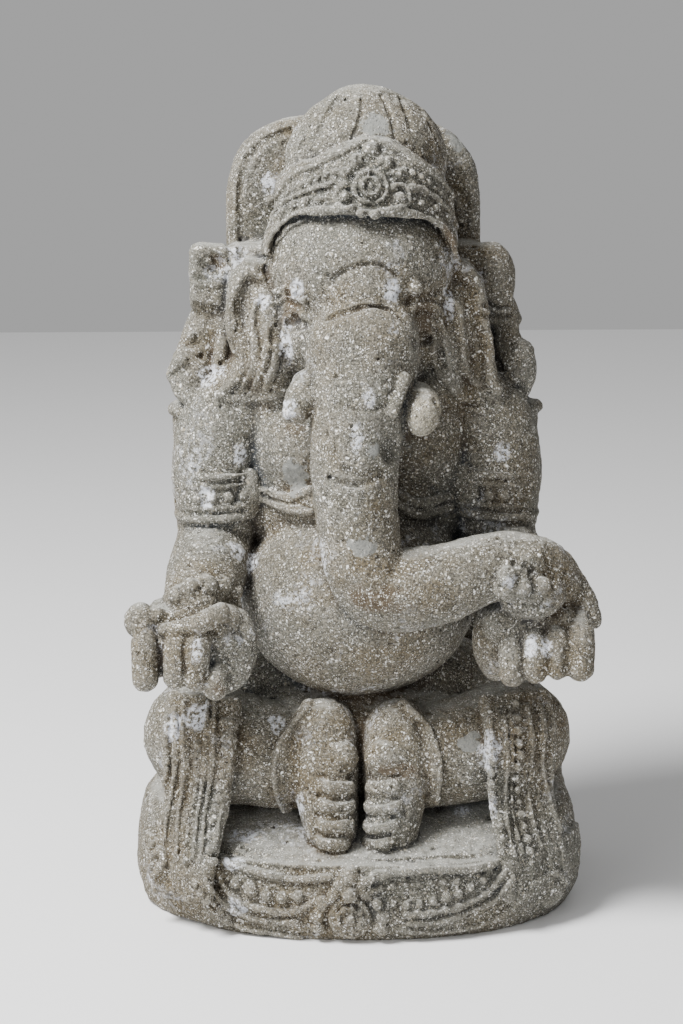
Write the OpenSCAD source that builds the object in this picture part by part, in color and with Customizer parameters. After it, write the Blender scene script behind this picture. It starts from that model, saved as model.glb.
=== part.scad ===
// Seated elephant-headed idol with four arms, carved from one block of
// volcanic stone. The carving is divided along its carved outlines into
// closed solids that meet face to face. +Z is up, the idol faces -Y, and
// the origin is the centre of the plinth's flat underside. right_ and left_
// are the idol's own sides, so right_ parts lie at negative X.

/* [Plinth] */
// Width of the oval plinth
plinth_w = 440; // [420:1:450]
// Depth of the oval plinth
plinth_d = 330; // [320:1:340]
// Height of the plinth's upright side
plinth_side_h = 62; // [50:1:70]
// Height of the plinth's domed top
plinth_top_h = 104; // [98:1:110]
// How far the hand-cut plinth is turned under the figure, in degrees
plinth_turn = -4; // [-6:1:4]

/* [Back slab] */
// Width of the arched slab behind the figure
slab_w = 254; // [240:1:270]
// Height of the slab's arched top above the ground
slab_h = 766; // [740:1:785]
// Thickness of the slab
slab_t = 58; // [45:1:65]

/* [Body] */
// Width of the round belly
belly_w = 226; // [216:1:236]
// Depth of the round belly
belly_d = 196; // [184:1:204]
// Width of the chest between the upper arms
chest_w = 212; // [200:1:224]
// Height of the waist band above the ground
waist_z = 408; // [402:1:414]

/* [Head] */
// Width of the head at the temples
head_w = 178; // [168:1:188]
// Height of the topknot's crown above the ground
crown_z = 800; // [790:1:806]
// Diameter of the trunk at mid length
trunk_d = 84; // [76:1:88]

/* [Limbs] */
// Diameter of an upper arm
upper_arm_d = 88; // [80:1:92]
// Diameter of a forearm
forearm_d = 72; // [64:1:76]
// Diameter of a folded leg
leg_d = 116; // [108:1:120]
// Diameter of a finger
finger_d = 25; // [22:1:27]

/* [Relief] */
// How far the flat ornaments stand proud
relief = 6; // [5:0.5:8]

/* [Hidden] */

// Facets round a body, a limb and a small ornament
BODY_FN = 28;
LIMB_FN = 16;
TRIM_FN = 12;
OUTLINE_STEPS = 48;

stone = "#7f7e73";
stone_dark = "#6a685e";
stone_pale = "#a3a296";
tusk_pale = "#d8d2bd";

slab_front = 72;
// Sideways lean of the rear arms towards the idol's right
rear_lean = -6;
knee_z = 163;
palm_z = 296;
swag_low = 8;

// A ball given as [x, y, z, radius]
module ball(b, fn = LIMB_FN) {
    translate([b[0], b[1], b[2]])
        sphere(b[3], $fn = fn);
}

// A rounded limb through a list of balls
module limb(route, fn = LIMB_FN) {
    for (i = [0 : len(route) - 2])
        hull() {
            ball(route[i], fn);
            ball(route[i + 1], fn);
        }
}

// An ellipsoid from its centre and its three radii
module ellipsoid(centre, radii, fn = BODY_FN) {
    translate(centre)
        resize(2 * radii)
            sphere(radii[0], $fn = fn);
}

// Reflects a part's children to the idol's other side; side -1 is its right
module on_side(side) {
    scale([side, 1, 1])
        children();
}

// The same, for the rear arms, which lean a little to the idol's right
module rear_side(side) {
    translate([rear_lean, 0, 0])
        on_side(side)
            children();
}

// Points of an oval between an ellipse and a rectangle
function oval(w, d, power = 2.2) = [
    for (i = [0 : OUTLINE_STEPS - 1])
        let (a = 360 * i / OUTLINE_STEPS, c = cos(a), s = sin(a))
            [w / 2 * sign(c) * pow(abs(c), 2 / power),
             d / 2 * sign(s) * pow(abs(s), 2 / power)]
];

module oval_disc(w, d, z, t, turn = plinth_turn) {
    translate([0, 0, z])
        rotate(turn)
            linear_extrude(t)
                polygon(oval(w, d));
}

// ---- plinth and back -------------------------------------------------

module plinth_shape() {
    hull() {
        oval_disc(plinth_w, plinth_d, 0, plinth_side_h);
        oval_disc(plinth_w - 14, plinth_d - 14, plinth_side_h + 14, 1);
        oval_disc(0.9 * plinth_w, 0.6 * plinth_d, plinth_top_h - 1, 1);
    }
}

module plinth() {
    color(stone) plinth_shape();
}

module slab_shape() {
    corner_r = slab_w / 4;
    crown_r = 0.4 * slab_w;
    translate([0, slab_front, 0])
        rotate([90, 0, 0])
            mirror([0, 0, 1])
                linear_extrude(slab_t)
                    hull() {
                        translate([0, plinth_top_h - 10])
                            square([slab_w + 40, 1], center = true);
                        translate([0, slab_h - crown_r])
                            circle(crown_r, $fn = OUTLINE_STEPS);
                        for (x = [corner_r - slab_w / 2, slab_w / 2 - corner_r])
                            translate([x, slab_h - corner_r - 6])
                                circle(corner_r, $fn = OUTLINE_STEPS);
                    }
}

module back_slab() {
    color(stone)
        difference() {
            slab_shape();
            plinth_shape();
        }
}

// ---- body ------------------------------------------------------------

module belly_shape() {
    ellipsoid([0, -30, 308], [belly_w / 2, belly_d / 2, 98]);
}

module hips_shape() {
    hull() {
        ball([-110, 20, 165, 68], BODY_FN);
        ball([110, 20, 165, 68], BODY_FN);
        ball([-80, 20, 250, 60], BODY_FN);
        ball([80, 20, 250, 60], BODY_FN);
    }
}

module torso_shape() {
    hull() {
        ball([-chest_w / 2 + 66, -6, waist_z - 20, 72], BODY_FN);
        ball([chest_w / 2 - 66, -6, waist_z - 20, 72], BODY_FN);
        ball([-chest_w / 2 + 40, 0, 500, 66], BODY_FN);
        ball([chest_w / 2 - 40, 0, 500, 66], BODY_FN);
    }
    for (side = [-1, 1])
        ball([side * 52, -38, 462, 50], BODY_FN);
}

module waist_shape() {
    translate([0, -6, 0])
        oval_disc(chest_w - 4, 176, waist_z - 7, 14, turn = 0);
}

module hips() {
    color(stone_dark)
        difference() {
            hips_shape();
            slab_shape();
            plinth_shape();
            belly_shape();
        }
}

module belly() {
    color(stone)
        difference() {
            belly_shape();
            slab_shape();
        }
}

module torso() {
    color(stone)
        difference() {
            torso_shape();
            slab_shape();
            belly_shape();
            hips_shape();
        }
}

module waist_band() {
    color(stone_pale)
        difference() {
            waist_shape();
            slab_shape();
            belly_shape();
            torso_shape();
        }
}

// ---- head ------------------------------------------------------------

module head_shape() {
    hull() {
        ellipsoid([3, -28, 632], [head_w / 2, 84, 72]);
        for (side = [-1, 1])
            ball([3 + side * 34, -52, 572, 50], BODY_FN);
    }
}

module topknot_shape() {
    hull() {
        ellipsoid([5, 20, 730], [74, 72, crown_z - 730]);
        ellipsoid([4, 10, 686], [86, 82, 30]);
    }
}

// Upright pediment outline of the diadem, in front view
module diadem_outline() {
    polygon([
        [-98, 628], [-84, 630], [-66, 668], [-30, 684], [8, 687],
        [44, 683], [78, 666], [90, 630], [102, 628],
        [98, 682], [62, 710], [34, 734], [8, 752], [-20, 736],
        [-52, 712], [-88, 684]
    ]);
}

module diadem_shape() {
    intersection() {
        rotate([90, 0, 0])
            linear_extrude(140)
                diadem_outline();
        hull() {
            ellipsoid([4, -26, 640], [104, 98, 70]);
            ellipsoid([8, 8, 716], [88, 92, 50]);
        }
    }
}

module rosette_shape(centre, r) {
    translate(centre)
        rotate([90, 0, 0]) {
            cylinder(h = 2 * relief, r = r, center = true, $fn = BODY_FN);
            cylinder(h = 4 * relief, r = 0.45 * r, center = true, $fn = BODY_FN);
        }
}

trunk_route = [
    [4, -54, 592, 58], [2, -82, 552, 54], [-3, -108, 512, 46],
    [-6, -122, 470, trunk_d / 2], [-5, -130, 405, trunk_d / 2 - 2],
    [1, -132, 366, trunk_d / 2 - 3], [16, -133, 340, trunk_d / 2 - 3],
    [44, -134, 338, trunk_d / 2 - 3], [78, -133, 344, trunk_d / 2 - 6],
    [112, -131, 355, 32], [142, -128, 358, 30], [168, -122, 355, 27],
    [182, -116, 340, 22]
];

module trunk_shape() {
    limb(trunk_route);
}

module tusk_shape(side) {
    on_side(side)
        limb([[56, -105, 534, 15], [61, -140, 522, 14], [63, -160, 503, 12]]);
}

module ear_shape(side) {
    on_side(side)
        hull() {
            ball([90, -28, 618, 22]);
            ball([102, -28, 588, 20]);
            ball([82, -34, 548, 22]);
            ball([98, -34, 524, 16]);
            ball([80, 30, 580, 34]);
        }
    on_side(side)
        limb([[98, -30, 548, 18], [108, -36, 530, 14], [120, -40, 518, 7]]);
}

module head() {
    color(stone)
        difference() {
            head_shape();
            slab_shape();
            torso_shape();
        }
}

module topknot() {
    color(stone)
        difference() {
            topknot_shape();
            slab_shape();
            head_shape();
        }
}

module diadem() {
    color(stone_pale)
        difference() {
            diadem_shape();
            head_shape();
            topknot_shape();
        }
}

module diadem_rosette() {
    color(stone_pale)
        difference() {
            rosette_shape([8, -94, 709], 22);
            diadem_shape();
            topknot_shape();
            head_shape();
        }
}

module trunk() {
    color(stone)
        difference() {
            trunk_shape();
            head_shape();
            torso_shape();
            belly_shape();
            waist_shape();
        }
}

module tusk(side) {
    color(tusk_pale)
        difference() {
            tusk_shape(side);
            head_shape();
            torso_shape();
            trunk_shape();
        }
}

module right_tusk() {
    tusk(-1);
}

module left_tusk() {
    tusk(1);
}

module ear(side) {
    color(stone)
        difference() {
            ear_shape(side);
            slab_shape();
            head_shape();
            torso_shape();
            diadem_shape();
            trunk_shape();
            tusk_shape(side);
        }
}

module right_ear() {
    ear(-1);
}

module left_ear() {
    ear(1);
}

// ---- legs and feet ---------------------------------------------------

module leg_shape(side) {
    r = leg_d / 2;
    on_side(side)
        hull() {
            ball([213 - r, -30, knee_z, r], BODY_FN);
            ball([128, -60, knee_z - 2, r - 2], BODY_FN);
            ball([70, -66, knee_z - 8, r - 6], BODY_FN);
            ball([120, 40, knee_z + 6, r], BODY_FN);
        }
}

module hem_shape(side) {
    on_side(side)
        limb([
            [38, -92, 200, 18], [62, -100, 192, 18], [76, -104, 160, 18],
            [74, -106, 124, 16], [56, -106, 98, 14]
        ]);
}

module foot_shape(side) {
    on_side(side) {
        hull() {
            ball([35, -86, 184, 31], BODY_FN);
            ball([34, -104, 178, 28], BODY_FN);
            ball([26, -100, 104, 26], BODY_FN);
        }
        for (toe = [0 : 4])
            hull() {
                ball([34 - 2 * toe, -100, 176 - 20 * toe, 16], TRIM_FN);
                ball([19, -130, 172 - 19 * toe, 12], TRIM_FN);
                ball([40 - 4 * toe, -124, 172 - 19 * toe, 9], TRIM_FN);
            }
    }
}

module leg(side) {
    color(stone)
        difference() {
            leg_shape(side);
            slab_shape();
            plinth_shape();
            belly_shape();
            hips_shape();
            on_side(side)
                translate([-100, -200, 0])
                    cube([100, 400, 400]);
        }
}

module right_leg() {
    leg(-1);
}

module left_leg() {
    leg(1);
}

module hem(side) {
    color(stone_pale)
        difference() {
            hem_shape(side);
            plinth_shape();
            belly_shape();
            hips_shape();
            leg_shape(side);
            foot_shape(side);
        }
}

module right_hem() {
    hem(-1);
}

module left_hem() {
    hem(1);
}

module foot(side) {
    color(stone)
        difference() {
            foot_shape(side);
            plinth_shape();
            belly_shape();
            hips_shape();
            leg_shape(side);
            on_side(side)
                translate([-100, -200, 0])
                    cube([100, 400, 400]);
        }
}

module right_foot() {
    foot(-1);
}

module left_foot() {
    foot(1);
}

// ---- front arms and hands --------------------------------------------

module upper_arm_shape(side) {
    r = upper_arm_d / 2;
    on_side(side)
        limb([[108, -2, 506, r - 2], [130, -8, 460, r], [134, -14, 384, r - 1]]);
}

module armlet_shape(side) {
    on_side(side)
        translate([133, -11, 404])
            rotate([-4, 0, 0])
                cylinder(h = 34, d = upper_arm_d + 2 * relief, center = true, $fn = BODY_FN);
}

module forearm_shape(side) {
    r = forearm_d / 2;
    on_side(side)
        limb([[134, -16, 352, r + 3], [148, -70, 328, r], [160, -106, 314, r - 6]]);
}

module hand_shape(side) {
    reach = [146, 156, 156, 148];
    across = [131, 156, 177, 200];
    drop = [244, 250, 250, 252];
    on_side(side) {
        hull() {
            ball([146, -96, palm_z + 4, 22]);
            ball([178, -96, palm_z + 4, 22]);
            ball([134, -136, palm_z - 6, 22]);
            ball([196, -136, palm_z - 2, 22]);
        }
        for (i = [0 : 3])
            hull() {
                ball([across[i], -reach[i] + 22, palm_z - 8, finger_d / 2], TRIM_FN);
                ball([across[i], -reach[i], palm_z - 12, finger_d / 2], TRIM_FN);
                ball([across[i], -reach[i], drop[i], finger_d / 2 - 1], TRIM_FN);
            }
        hull() {
            ball([186, -108, palm_z + 4, 15], TRIM_FN);
            ball([215, -126, palm_z + 2, 13], TRIM_FN);
        }
    }
}

module held_tusk_shape() {
    hull() {
        ball([-184, -146, palm_z + 16, 10]);
        ball([-122, -124, palm_z + 30, 12]);
    }
}

module sweet_shape() {
    ball([160, -132, 334, 34], BODY_FN);
}

module lap_shapes(side) {
    plinth_shape();
    belly_shape();
    hips_shape();
    leg_shape(side);
}

module upper_arm(side) {
    color(stone)
        difference() {
            upper_arm_shape(side);
            slab_shape();
            torso_shape();
            belly_shape();
            waist_shape();
            head_shape();
            ear_shape(side);
            trunk_shape();
        }
}

module right_upper_arm() {
    upper_arm(-1);
}

module left_upper_arm() {
    upper_arm(1);
}

module armlet(side) {
    color(stone_pale)
        difference() {
            armlet_shape(side);
            slab_shape();
            torso_shape();
            belly_shape();
            waist_shape();
            trunk_shape();
            upper_arm_shape(side);
        }
}

module right_armlet() {
    armlet(-1);
}

module left_armlet() {
    armlet(1);
}

module forearm(side) {
    color(stone)
        difference() {
            forearm_shape(side);
            lap_shapes(side);
            torso_shape();
            trunk_shape();
            upper_arm_shape(side);
            armlet_shape(side);
        }
}

module right_forearm() {
    forearm(-1);
}

module left_forearm() {
    forearm(1);
}

module hand(side) {
    color(stone)
        difference() {
            hand_shape(side);
            lap_shapes(side);
            trunk_shape();
            forearm_shape(side);
        }
}

module right_hand() {
    hand(-1);
}

module left_hand() {
    hand(1);
}

module held_tusk() {
    color(stone_pale)
        difference() {
            held_tusk_shape();
            hand_shape(-1);
            forearm_shape(-1);
            belly_shape();
        }
}

module sweet() {
    color(stone)
        difference() {
            sweet_shape();
            hand_shape(1);
            forearm_shape(1);
            trunk_shape();
            belly_shape();
        }
}

// ---- rear arms and emblems -------------------------------------------

module rear_arm_shape(side) {
    rear_side(side)
        limb([[120, 34, 470, 40], [146, 26, 420, 32], [154, 20, 470, 24]]);
}

module rear_bracelet_shape(side) {
    rear_side(side)
        translate([154, 17, 484])
            rotate([0, 4, 0])
                cylinder(h = 18, d = 46 + relief, center = true, $fn = BODY_FN);
}

module rear_hand_shape(side) {
    rear_side(side) {
        hull() {
            ball([154, 14, 506, 17]);
            ball([158, 4, 540, 15]);
            ball([146, 24, 560, 20]);
            ball([130, 36, 520, 26]);
        }
        for (finger = [0 : 3])
            hull() {
                ball([152, 10, 552 - 15 * finger, 11], TRIM_FN);
                ball([162, -4, 546 - 15 * finger, 9], TRIM_FN);
            }
    }
}

module emblem_shape(side) {
    rear_side(side)
        hull() {
            ball([140, 16, 584, 15]);
            ball([140, 16, 628, 15]);
            ball([134, 8, 608, 17]);
            ball([104, 60, 605, 30]);
        }
}

module body_shapes() {
    slab_shape();
    torso_shape();
    head_shape();
}

module rear_arm(side) {
    color(stone)
        difference() {
            rear_arm_shape(side);
            body_shapes();
            upper_arm_shape(side);
            armlet_shape(side);
            forearm_shape(side);
            ear_shape(side);
        }
}

module right_rear_arm() {
    rear_arm(-1);
}

module left_rear_arm() {
    rear_arm(1);
}

module rear_bracelet(side) {
    color(stone_pale)
        difference() {
            rear_bracelet_shape(side);
            body_shapes();
            upper_arm_shape(side);
            rear_arm_shape(side);
            ear_shape(side);
        }
}

module right_rear_bracelet() {
    rear_bracelet(-1);
}

module left_rear_bracelet() {
    rear_bracelet(1);
}

module rear_hand(side) {
    color(stone)
        difference() {
            rear_hand_shape(side);
            body_shapes();
            upper_arm_shape(side);
            rear_arm_shape(side);
            rear_bracelet_shape(side);
            ear_shape(side);
        }
}

module right_rear_hand() {
    rear_hand(-1);
}

module left_rear_hand() {
    rear_hand(1);
}

module emblem(side) {
    color(stone)
        difference() {
            emblem_shape(side);
            body_shapes();
            ear_shape(side);
            rear_hand_shape(side);
        }
}

module right_emblem() {
    emblem(-1);
}

module left_emblem() {
    emblem(1);
}

// ---- sashes and swag --------------------------------------------------

// A flat strip pressed on the leg and the plinth, as pairs of edge points
module strip(inner, outer, r) {
    for (i = [0 : len(inner) - 2])
        hull()
            for (edge = [inner, outer])
                for (j = [i, i + 1])
                    translate(edge[j])
                        sphere(r, $fn = TRIM_FN);
}

module sash_shape(side) {
    on_side(side)
        strip(
            [[122, -110, 212], [125, -121, 172], [129, -121, 128], [131, -126, 94]],
            [[170, -92, 212], [177, -104, 172], [184, -100, 128], [190, -94, 96]],
            relief + 3
        );
}

module swag_shape() {
    translate([0, 0, swag_low])
        rotate(plinth_turn)
            linear_extrude(plinth_side_h - swag_low)
                intersection() {
                    difference() {
                        polygon(oval(plinth_w + 2 * relief, plinth_d + 2 * relief));
                        polygon(oval(plinth_w, plinth_d));
                    }
                    translate([-plinth_w, -plinth_d])
                        square([2 * plinth_w, 0.82 * plinth_d]);
                }
}

module sash(side) {
    color(stone_pale)
        difference() {
            sash_shape(side);
            plinth_shape();
            leg_shape(side);
            hand_shape(side);
        }
}

module right_sash() {
    sash(-1);
}

module left_sash() {
    sash(1);
}

module front_swag() {
    color(stone_pale) swag_shape();
}

module swag_rosette() {
    color(stone_pale)
        difference() {
            rosette_shape([-14, -plinth_d / 2 - relief, 34], 23);
            rotate(plinth_turn)
                linear_extrude(plinth_side_h)
                    polygon(oval(plinth_w + 2 * relief, plinth_d + 2 * relief));
        }
}

plinth();
back_slab();
hips();
belly();
torso();
waist_band();
head();
topknot();
diadem();
diadem_rosette();
trunk();
right_tusk();
left_tusk();
right_ear();
left_ear();
right_leg();
left_leg();
right_hem();
left_hem();
right_foot();
left_foot();
right_upper_arm();
left_upper_arm();
right_armlet();
left_armlet();
right_forearm();
left_forearm();
right_hand();
left_hand();
held_tusk();
sweet();
right_rear_arm();
left_rear_arm();
right_rear_bracelet();
left_rear_bracelet();
right_rear_hand();
left_rear_hand();
right_emblem();
left_emblem();
right_sash();
left_sash();
front_swag();
swag_rosette();
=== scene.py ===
"""The looks of the ganesha idol: one block of weathered volcanic stone.

The idol is sculpted as a signed distance field on one lattice, in the frame of
the CAD model. Every piece adds its own stone, the whole block is weathered
together, and each piece is then meshed up to its neighbours, so that the
pieces meet without a gap. Carving units are 1/800 of the idol's height.

The front-view points of the ornament, the ear and diadem outlines and the
painted patches were not chosen in these units. They were read off the photo as
pixel positions, and a separate program turned them into carving units.
"""

import math
from functools import partial

import bpy
import numpy as np
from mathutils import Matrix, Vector


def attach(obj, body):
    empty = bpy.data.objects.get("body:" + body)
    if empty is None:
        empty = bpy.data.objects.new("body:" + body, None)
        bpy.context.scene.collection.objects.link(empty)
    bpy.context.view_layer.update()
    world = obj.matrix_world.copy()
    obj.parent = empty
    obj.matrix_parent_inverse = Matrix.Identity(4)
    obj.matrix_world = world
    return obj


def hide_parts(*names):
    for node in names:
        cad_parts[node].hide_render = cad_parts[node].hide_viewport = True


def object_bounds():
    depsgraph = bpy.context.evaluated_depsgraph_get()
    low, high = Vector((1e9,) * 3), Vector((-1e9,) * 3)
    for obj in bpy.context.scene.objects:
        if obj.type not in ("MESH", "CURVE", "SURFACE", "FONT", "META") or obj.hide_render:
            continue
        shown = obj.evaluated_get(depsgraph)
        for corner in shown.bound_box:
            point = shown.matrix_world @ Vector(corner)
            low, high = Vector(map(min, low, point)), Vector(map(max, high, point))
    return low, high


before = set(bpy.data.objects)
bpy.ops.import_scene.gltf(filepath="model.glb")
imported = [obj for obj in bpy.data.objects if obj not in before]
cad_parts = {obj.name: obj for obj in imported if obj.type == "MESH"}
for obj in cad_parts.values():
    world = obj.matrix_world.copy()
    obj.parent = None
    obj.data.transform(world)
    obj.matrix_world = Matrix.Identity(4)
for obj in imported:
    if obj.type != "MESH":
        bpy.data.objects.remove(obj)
cad_low, cad_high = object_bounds()
HEIGHT = 800
UNIT = (cad_high[2] - cad_low[2]) / HEIGHT
STEP = 1.6
MARGIN = 7.0
FAR = 1000.0
TINY = 1e-6
SIDES = ((-1, "right"), (1, "left"))
RANDOM = np.random.RandomState(11)


# ---- shapes: a distance function and the box that holds its solid ---------


class Shape:
    """A signed distance function, and the corners of the box that holds its solid."""

    def __init__(self, low, high, distance):
        self.low = np.array(low, float)
        self.high = np.array(high, float)
        self.distance = distance


def ball(centre, radius):
    c = np.array(centre, float)

    def distance(x, y, z):
        return np.sqrt((x - c[0]) ** 2 + (y - c[1]) ** 2 + (z - c[2]) ** 2) - radius

    return Shape(c - radius, c + radius, distance)


def turned(degrees):
    """Rotation matrix for turns about X, then Y, then Z."""
    a, b, c = (math.radians(d) for d in degrees)
    rx = np.array([[1, 0, 0], [0, math.cos(a), -math.sin(a)], [0, math.sin(a), math.cos(a)]])
    ry = np.array([[math.cos(b), 0, math.sin(b)], [0, 1, 0], [-math.sin(b), 0, math.cos(b)]])
    rz = np.array([[math.cos(c), -math.sin(c), 0], [math.sin(c), math.cos(c), 0], [0, 0, 1]])
    return rz @ ry @ rx


def local(x, y, z, centre, degrees):
    """The lattice's coordinates in a shape's own turned axes."""
    dx, dy, dz = x - centre[0], y - centre[1], z - centre[2]
    if not any(degrees):
        return dx, dy, dz
    m = turned(degrees).T
    return tuple(m[i, 0] * dx + m[i, 1] * dy + m[i, 2] * dz for i in range(3))


def ellipsoid(centre, radii, degrees=(0, 0, 0)):
    c, r = np.array(centre, float), np.array(radii, float)
    reach = max(r) if any(degrees) else r

    def distance(x, y, z):
        px, py, pz = local(x, y, z, c, degrees)
        k0 = np.sqrt((px / r[0]) ** 2 + (py / r[1]) ** 2 + (pz / r[2]) ** 2)
        k1 = np.sqrt((px / r[0] ** 2) ** 2 + (py / r[1] ** 2) ** 2 + (pz / r[2] ** 2) ** 2)
        return k0 * (k0 - 1) / np.maximum(k1, TINY)

    return Shape(c - reach, c + reach, distance)


def block_shape(centre, half, round_off, degrees=(0, 0, 0)):
    """A box with rounded edges."""
    c, h = np.array(centre, float), np.array(half, float)
    reach = np.linalg.norm(h) if any(degrees) else h

    def distance(x, y, z):
        p = local(x, y, z, c, degrees)
        q = [np.abs(p[i]) - (h[i] - round_off) for i in range(3)]
        outside = np.sqrt(sum(np.maximum(v, 0) ** 2 for v in q))
        inside = np.minimum(np.maximum(np.maximum(q[0], q[1]), q[2]), 0)
        return outside + inside - round_off

    return Shape(c - reach, c + reach, distance)


def cone(start, end):
    """A round bar between two balls, each [x, y, z, radius]."""
    a, b = np.array(start[:3], float), np.array(end[:3], float)
    ra, rb = start[3], end[3]
    ab = b - a
    length2 = max(float(ab @ ab), 1e-9)

    def distance(x, y, z):
        px, py, pz = x - a[0], y - a[1], z - a[2]
        t = np.clip((px * ab[0] + py * ab[1] + pz * ab[2]) / length2, 0, 1)
        gap = np.sqrt((px - t * ab[0]) ** 2 + (py - t * ab[1]) ** 2 + (pz - t * ab[2]) ** 2)
        return gap - (ra + (rb - ra) * t)

    low = np.minimum(a - ra, b - rb)
    return Shape(low, np.maximum(a + ra, b + rb), distance)


def curve(points, parts=6):
    """A smooth curve through points of any dimension (Catmull-Rom)."""
    p = np.array(points, float)
    p = np.vstack([2 * p[0] - p[1], p, 2 * p[-1] - p[-2]])
    out = []
    for i in range(1, len(p) - 2):
        for t in np.arange(parts) / parts:
            a, b, c, d = p[i - 1 : i + 3]
            out.append(
                0.5 * (2 * b + (c - a) * t + (2 * a - 5 * b + 4 * c - d) * t**2
                       + (3 * b - a - 3 * c + d) * t**3)
            )
    out.append(p[-2])
    return np.array(out)


def limb(route, parts=9):
    """A round bar along a smooth route of [x, y, z, radius]."""
    path = curve(route, parts) if len(route) > 2 else np.array(route, float)
    return [cone(path[i], path[i + 1]) for i in range(len(path) - 1)]


def ring(centre, big, small, degrees=(0, 0, 0), flat=1.0):
    """A torus about its own Z axis; flat below 1 makes an oval ring."""
    c = np.array(centre, float)

    def distance(x, y, z):
        px, py, pz = local(x, y, z, c, degrees)
        around = np.sqrt(px**2 + (py / flat) ** 2) - big
        return (np.sqrt(around**2 + pz**2) - small) * min(1.0, flat)

    reach = big + small
    return Shape(c - reach, c + reach, distance)


def oval(x, y, width, depth, power):
    """Distance from an oval between an ellipse and a rectangle, in plan."""
    ax, ay = np.abs(x) / width, np.abs(y) / depth
    q = np.maximum((ax**power + ay**power) ** (1 / power), TINY)
    slope = np.sqrt((ax ** (power - 1) / width) ** 2 + (ay ** (power - 1) / depth) ** 2)
    return (q - 1) / np.maximum(slope * q ** (1 - power), TINY)


def smooth_min(a, b, blend):
    """The smaller of two distances, rounded over where they meet."""
    if blend <= 0:
        return np.minimum(a, b)
    h = np.clip(0.5 + 0.5 * (a - b) / blend, 0, 1)
    return a + (b - a) * h - blend * h * (1 - h)


def plate(outline, front, back, blend):
    """A front-view outline [(x, z), ...] given thickness along Y."""
    p = np.array(outline, float)

    def distance(x, y, z):
        px, pz = np.broadcast_arrays(x, z)
        best = np.full(px.shape, FAR**2, np.float32)
        inside = np.zeros(px.shape, bool)
        for (ax, az), (bx, bz) in zip(p, np.roll(p, -1, 0)):
            ex, ez = bx - ax, bz - az
            wx, wz = px - ax, pz - az
            t = np.clip((wx * ex + wz * ez) / (ex * ex + ez * ez), 0, 1)
            best = np.minimum(best, (wx - t * ex) ** 2 + (wz - t * ez) ** 2)
            crosses = (az > pz) != (bz > pz)
            inside ^= crosses & (wx < ex * wz / (ez if ez else 1e-9))
        edge = np.where(inside, -1, 1) * np.sqrt(best)
        thick = np.abs(y - (front + back) / 2) - (back - front) / 2
        return -smooth_min(-edge, -thick, blend)

    low = (p[:, 0].min(), front, p[:, 1].min())
    return Shape(low, (p[:, 0].max(), back, p[:, 1].max()), distance)


def common(a, b, blend):
    """What two shapes share."""

    def distance(x, y, z):
        return -smooth_min(-a.distance(x, y, z), -b.distance(x, y, z), blend)

    return Shape(np.maximum(a.low, b.low), np.minimum(a.high, b.high), distance)


# ---- the block that the shapes are carved in -------------------------------


class Block:
    """Distance field and owning piece of every lattice point."""

    def __init__(self, low, high, step):
        self.step = step
        self.low = np.array(low, float)
        self.count = np.ceil((np.array(high) - self.low) / step).astype(int) + 1
        self.field = np.full(self.count, FAR, np.float32)
        self.owner = np.zeros(self.count, np.uint8)
        self.names = ["outside"]

    def window(self, low, high):
        first = np.maximum(np.floor((low - self.low) / self.step), 0).astype(int)
        last = np.minimum(np.ceil((high - self.low) / self.step) + 1, self.count).astype(int)
        return tuple(slice(a, max(a, b)) for a, b in zip(first, last))

    def grid(self, window):
        axes = []
        for i in range(3):
            values = self.low[i] + self.step * np.arange(window[i].start, window[i].stop)
            shape = [1, 1, 1]
            shape[i] = -1
            axes.append(values.astype(np.float32).reshape(shape))
        return axes

    def nearest(self, shapes, reach):
        """The window round some shapes and the distance to the nearest of them."""
        shapes = shapes if isinstance(shapes, (list, tuple)) else [shapes]
        low = np.min([s.low for s in shapes], axis=0) - reach
        high = np.max([s.high for s in shapes], axis=0) + reach
        window = self.window(low, high)
        near = np.full([w.stop - w.start for w in window], FAR, np.float32)
        for s in shapes:
            part = self.window(s.low - reach, s.high + reach)
            here = tuple(slice(p.start - w.start, p.stop - w.start) for p, w in zip(part, window))
            if near[here].size:
                near[here] = np.minimum(near[here], s.distance(*self.grid(part)))
        return window, near

    def add(self, piece, shapes, blend=2.5):
        if piece not in self.names:
            self.names.append(piece)
        window, near = self.nearest(shapes, blend + MARGIN)
        old = self.field[window]
        self.owner[window][near < old] = self.names.index(piece)
        self.field[window] = smooth_min(old, near, blend)

    def cut(self, shapes, blend=1.5):
        window, near = self.nearest(shapes, blend + MARGIN)
        self.field[window] = -smooth_min(-self.field[window], near, blend)

    def front(self, x, z):
        """Where the front surface lies at each (x, z)."""
        gx = (np.asarray(x, float) - self.low[0]) / self.step
        gz = (np.asarray(z, float) - self.low[2]) / self.step
        ix, iz = np.floor(gx).astype(int), np.floor(gz).astype(int)
        fx, fz = (gx - ix)[:, None], (gz - iz)[:, None]
        f = self.field
        columns = (
            f[ix, :, iz] * (1 - fx) * (1 - fz) + f[ix + 1, :, iz] * fx * (1 - fz)
            + f[ix, :, iz + 1] * (1 - fx) * fz + f[ix + 1, :, iz + 1] * fx * fz
        )
        k = np.maximum(np.argmax(columns < 0, axis=1), 1)
        rows = np.arange(len(k))
        before, after = columns[rows, k - 1], columns[rows, k]
        share = np.clip(before / np.maximum(before - after, TINY), 0, 1)
        return self.low[1] + self.step * (k - 1 + share)

    def sample(self, field, points):
        """A field's value at any points, between the lattice's own."""
        g = np.clip((points - self.low) / self.step, 0, self.count - 1.001)
        i = g.astype(int)
        f = (g - i).astype(np.float32)
        total = np.zeros(len(points), np.float32)
        for corner in range(8):
            o = [(corner >> k) & 1 for k in range(3)]
            weight = np.prod([f[:, k] if o[k] else 1 - f[:, k] for k in range(3)], axis=0)
            total += weight * field[i[:, 0] + o[0], i[:, 1] + o[1], i[:, 2] + o[2]]
        return total


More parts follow.
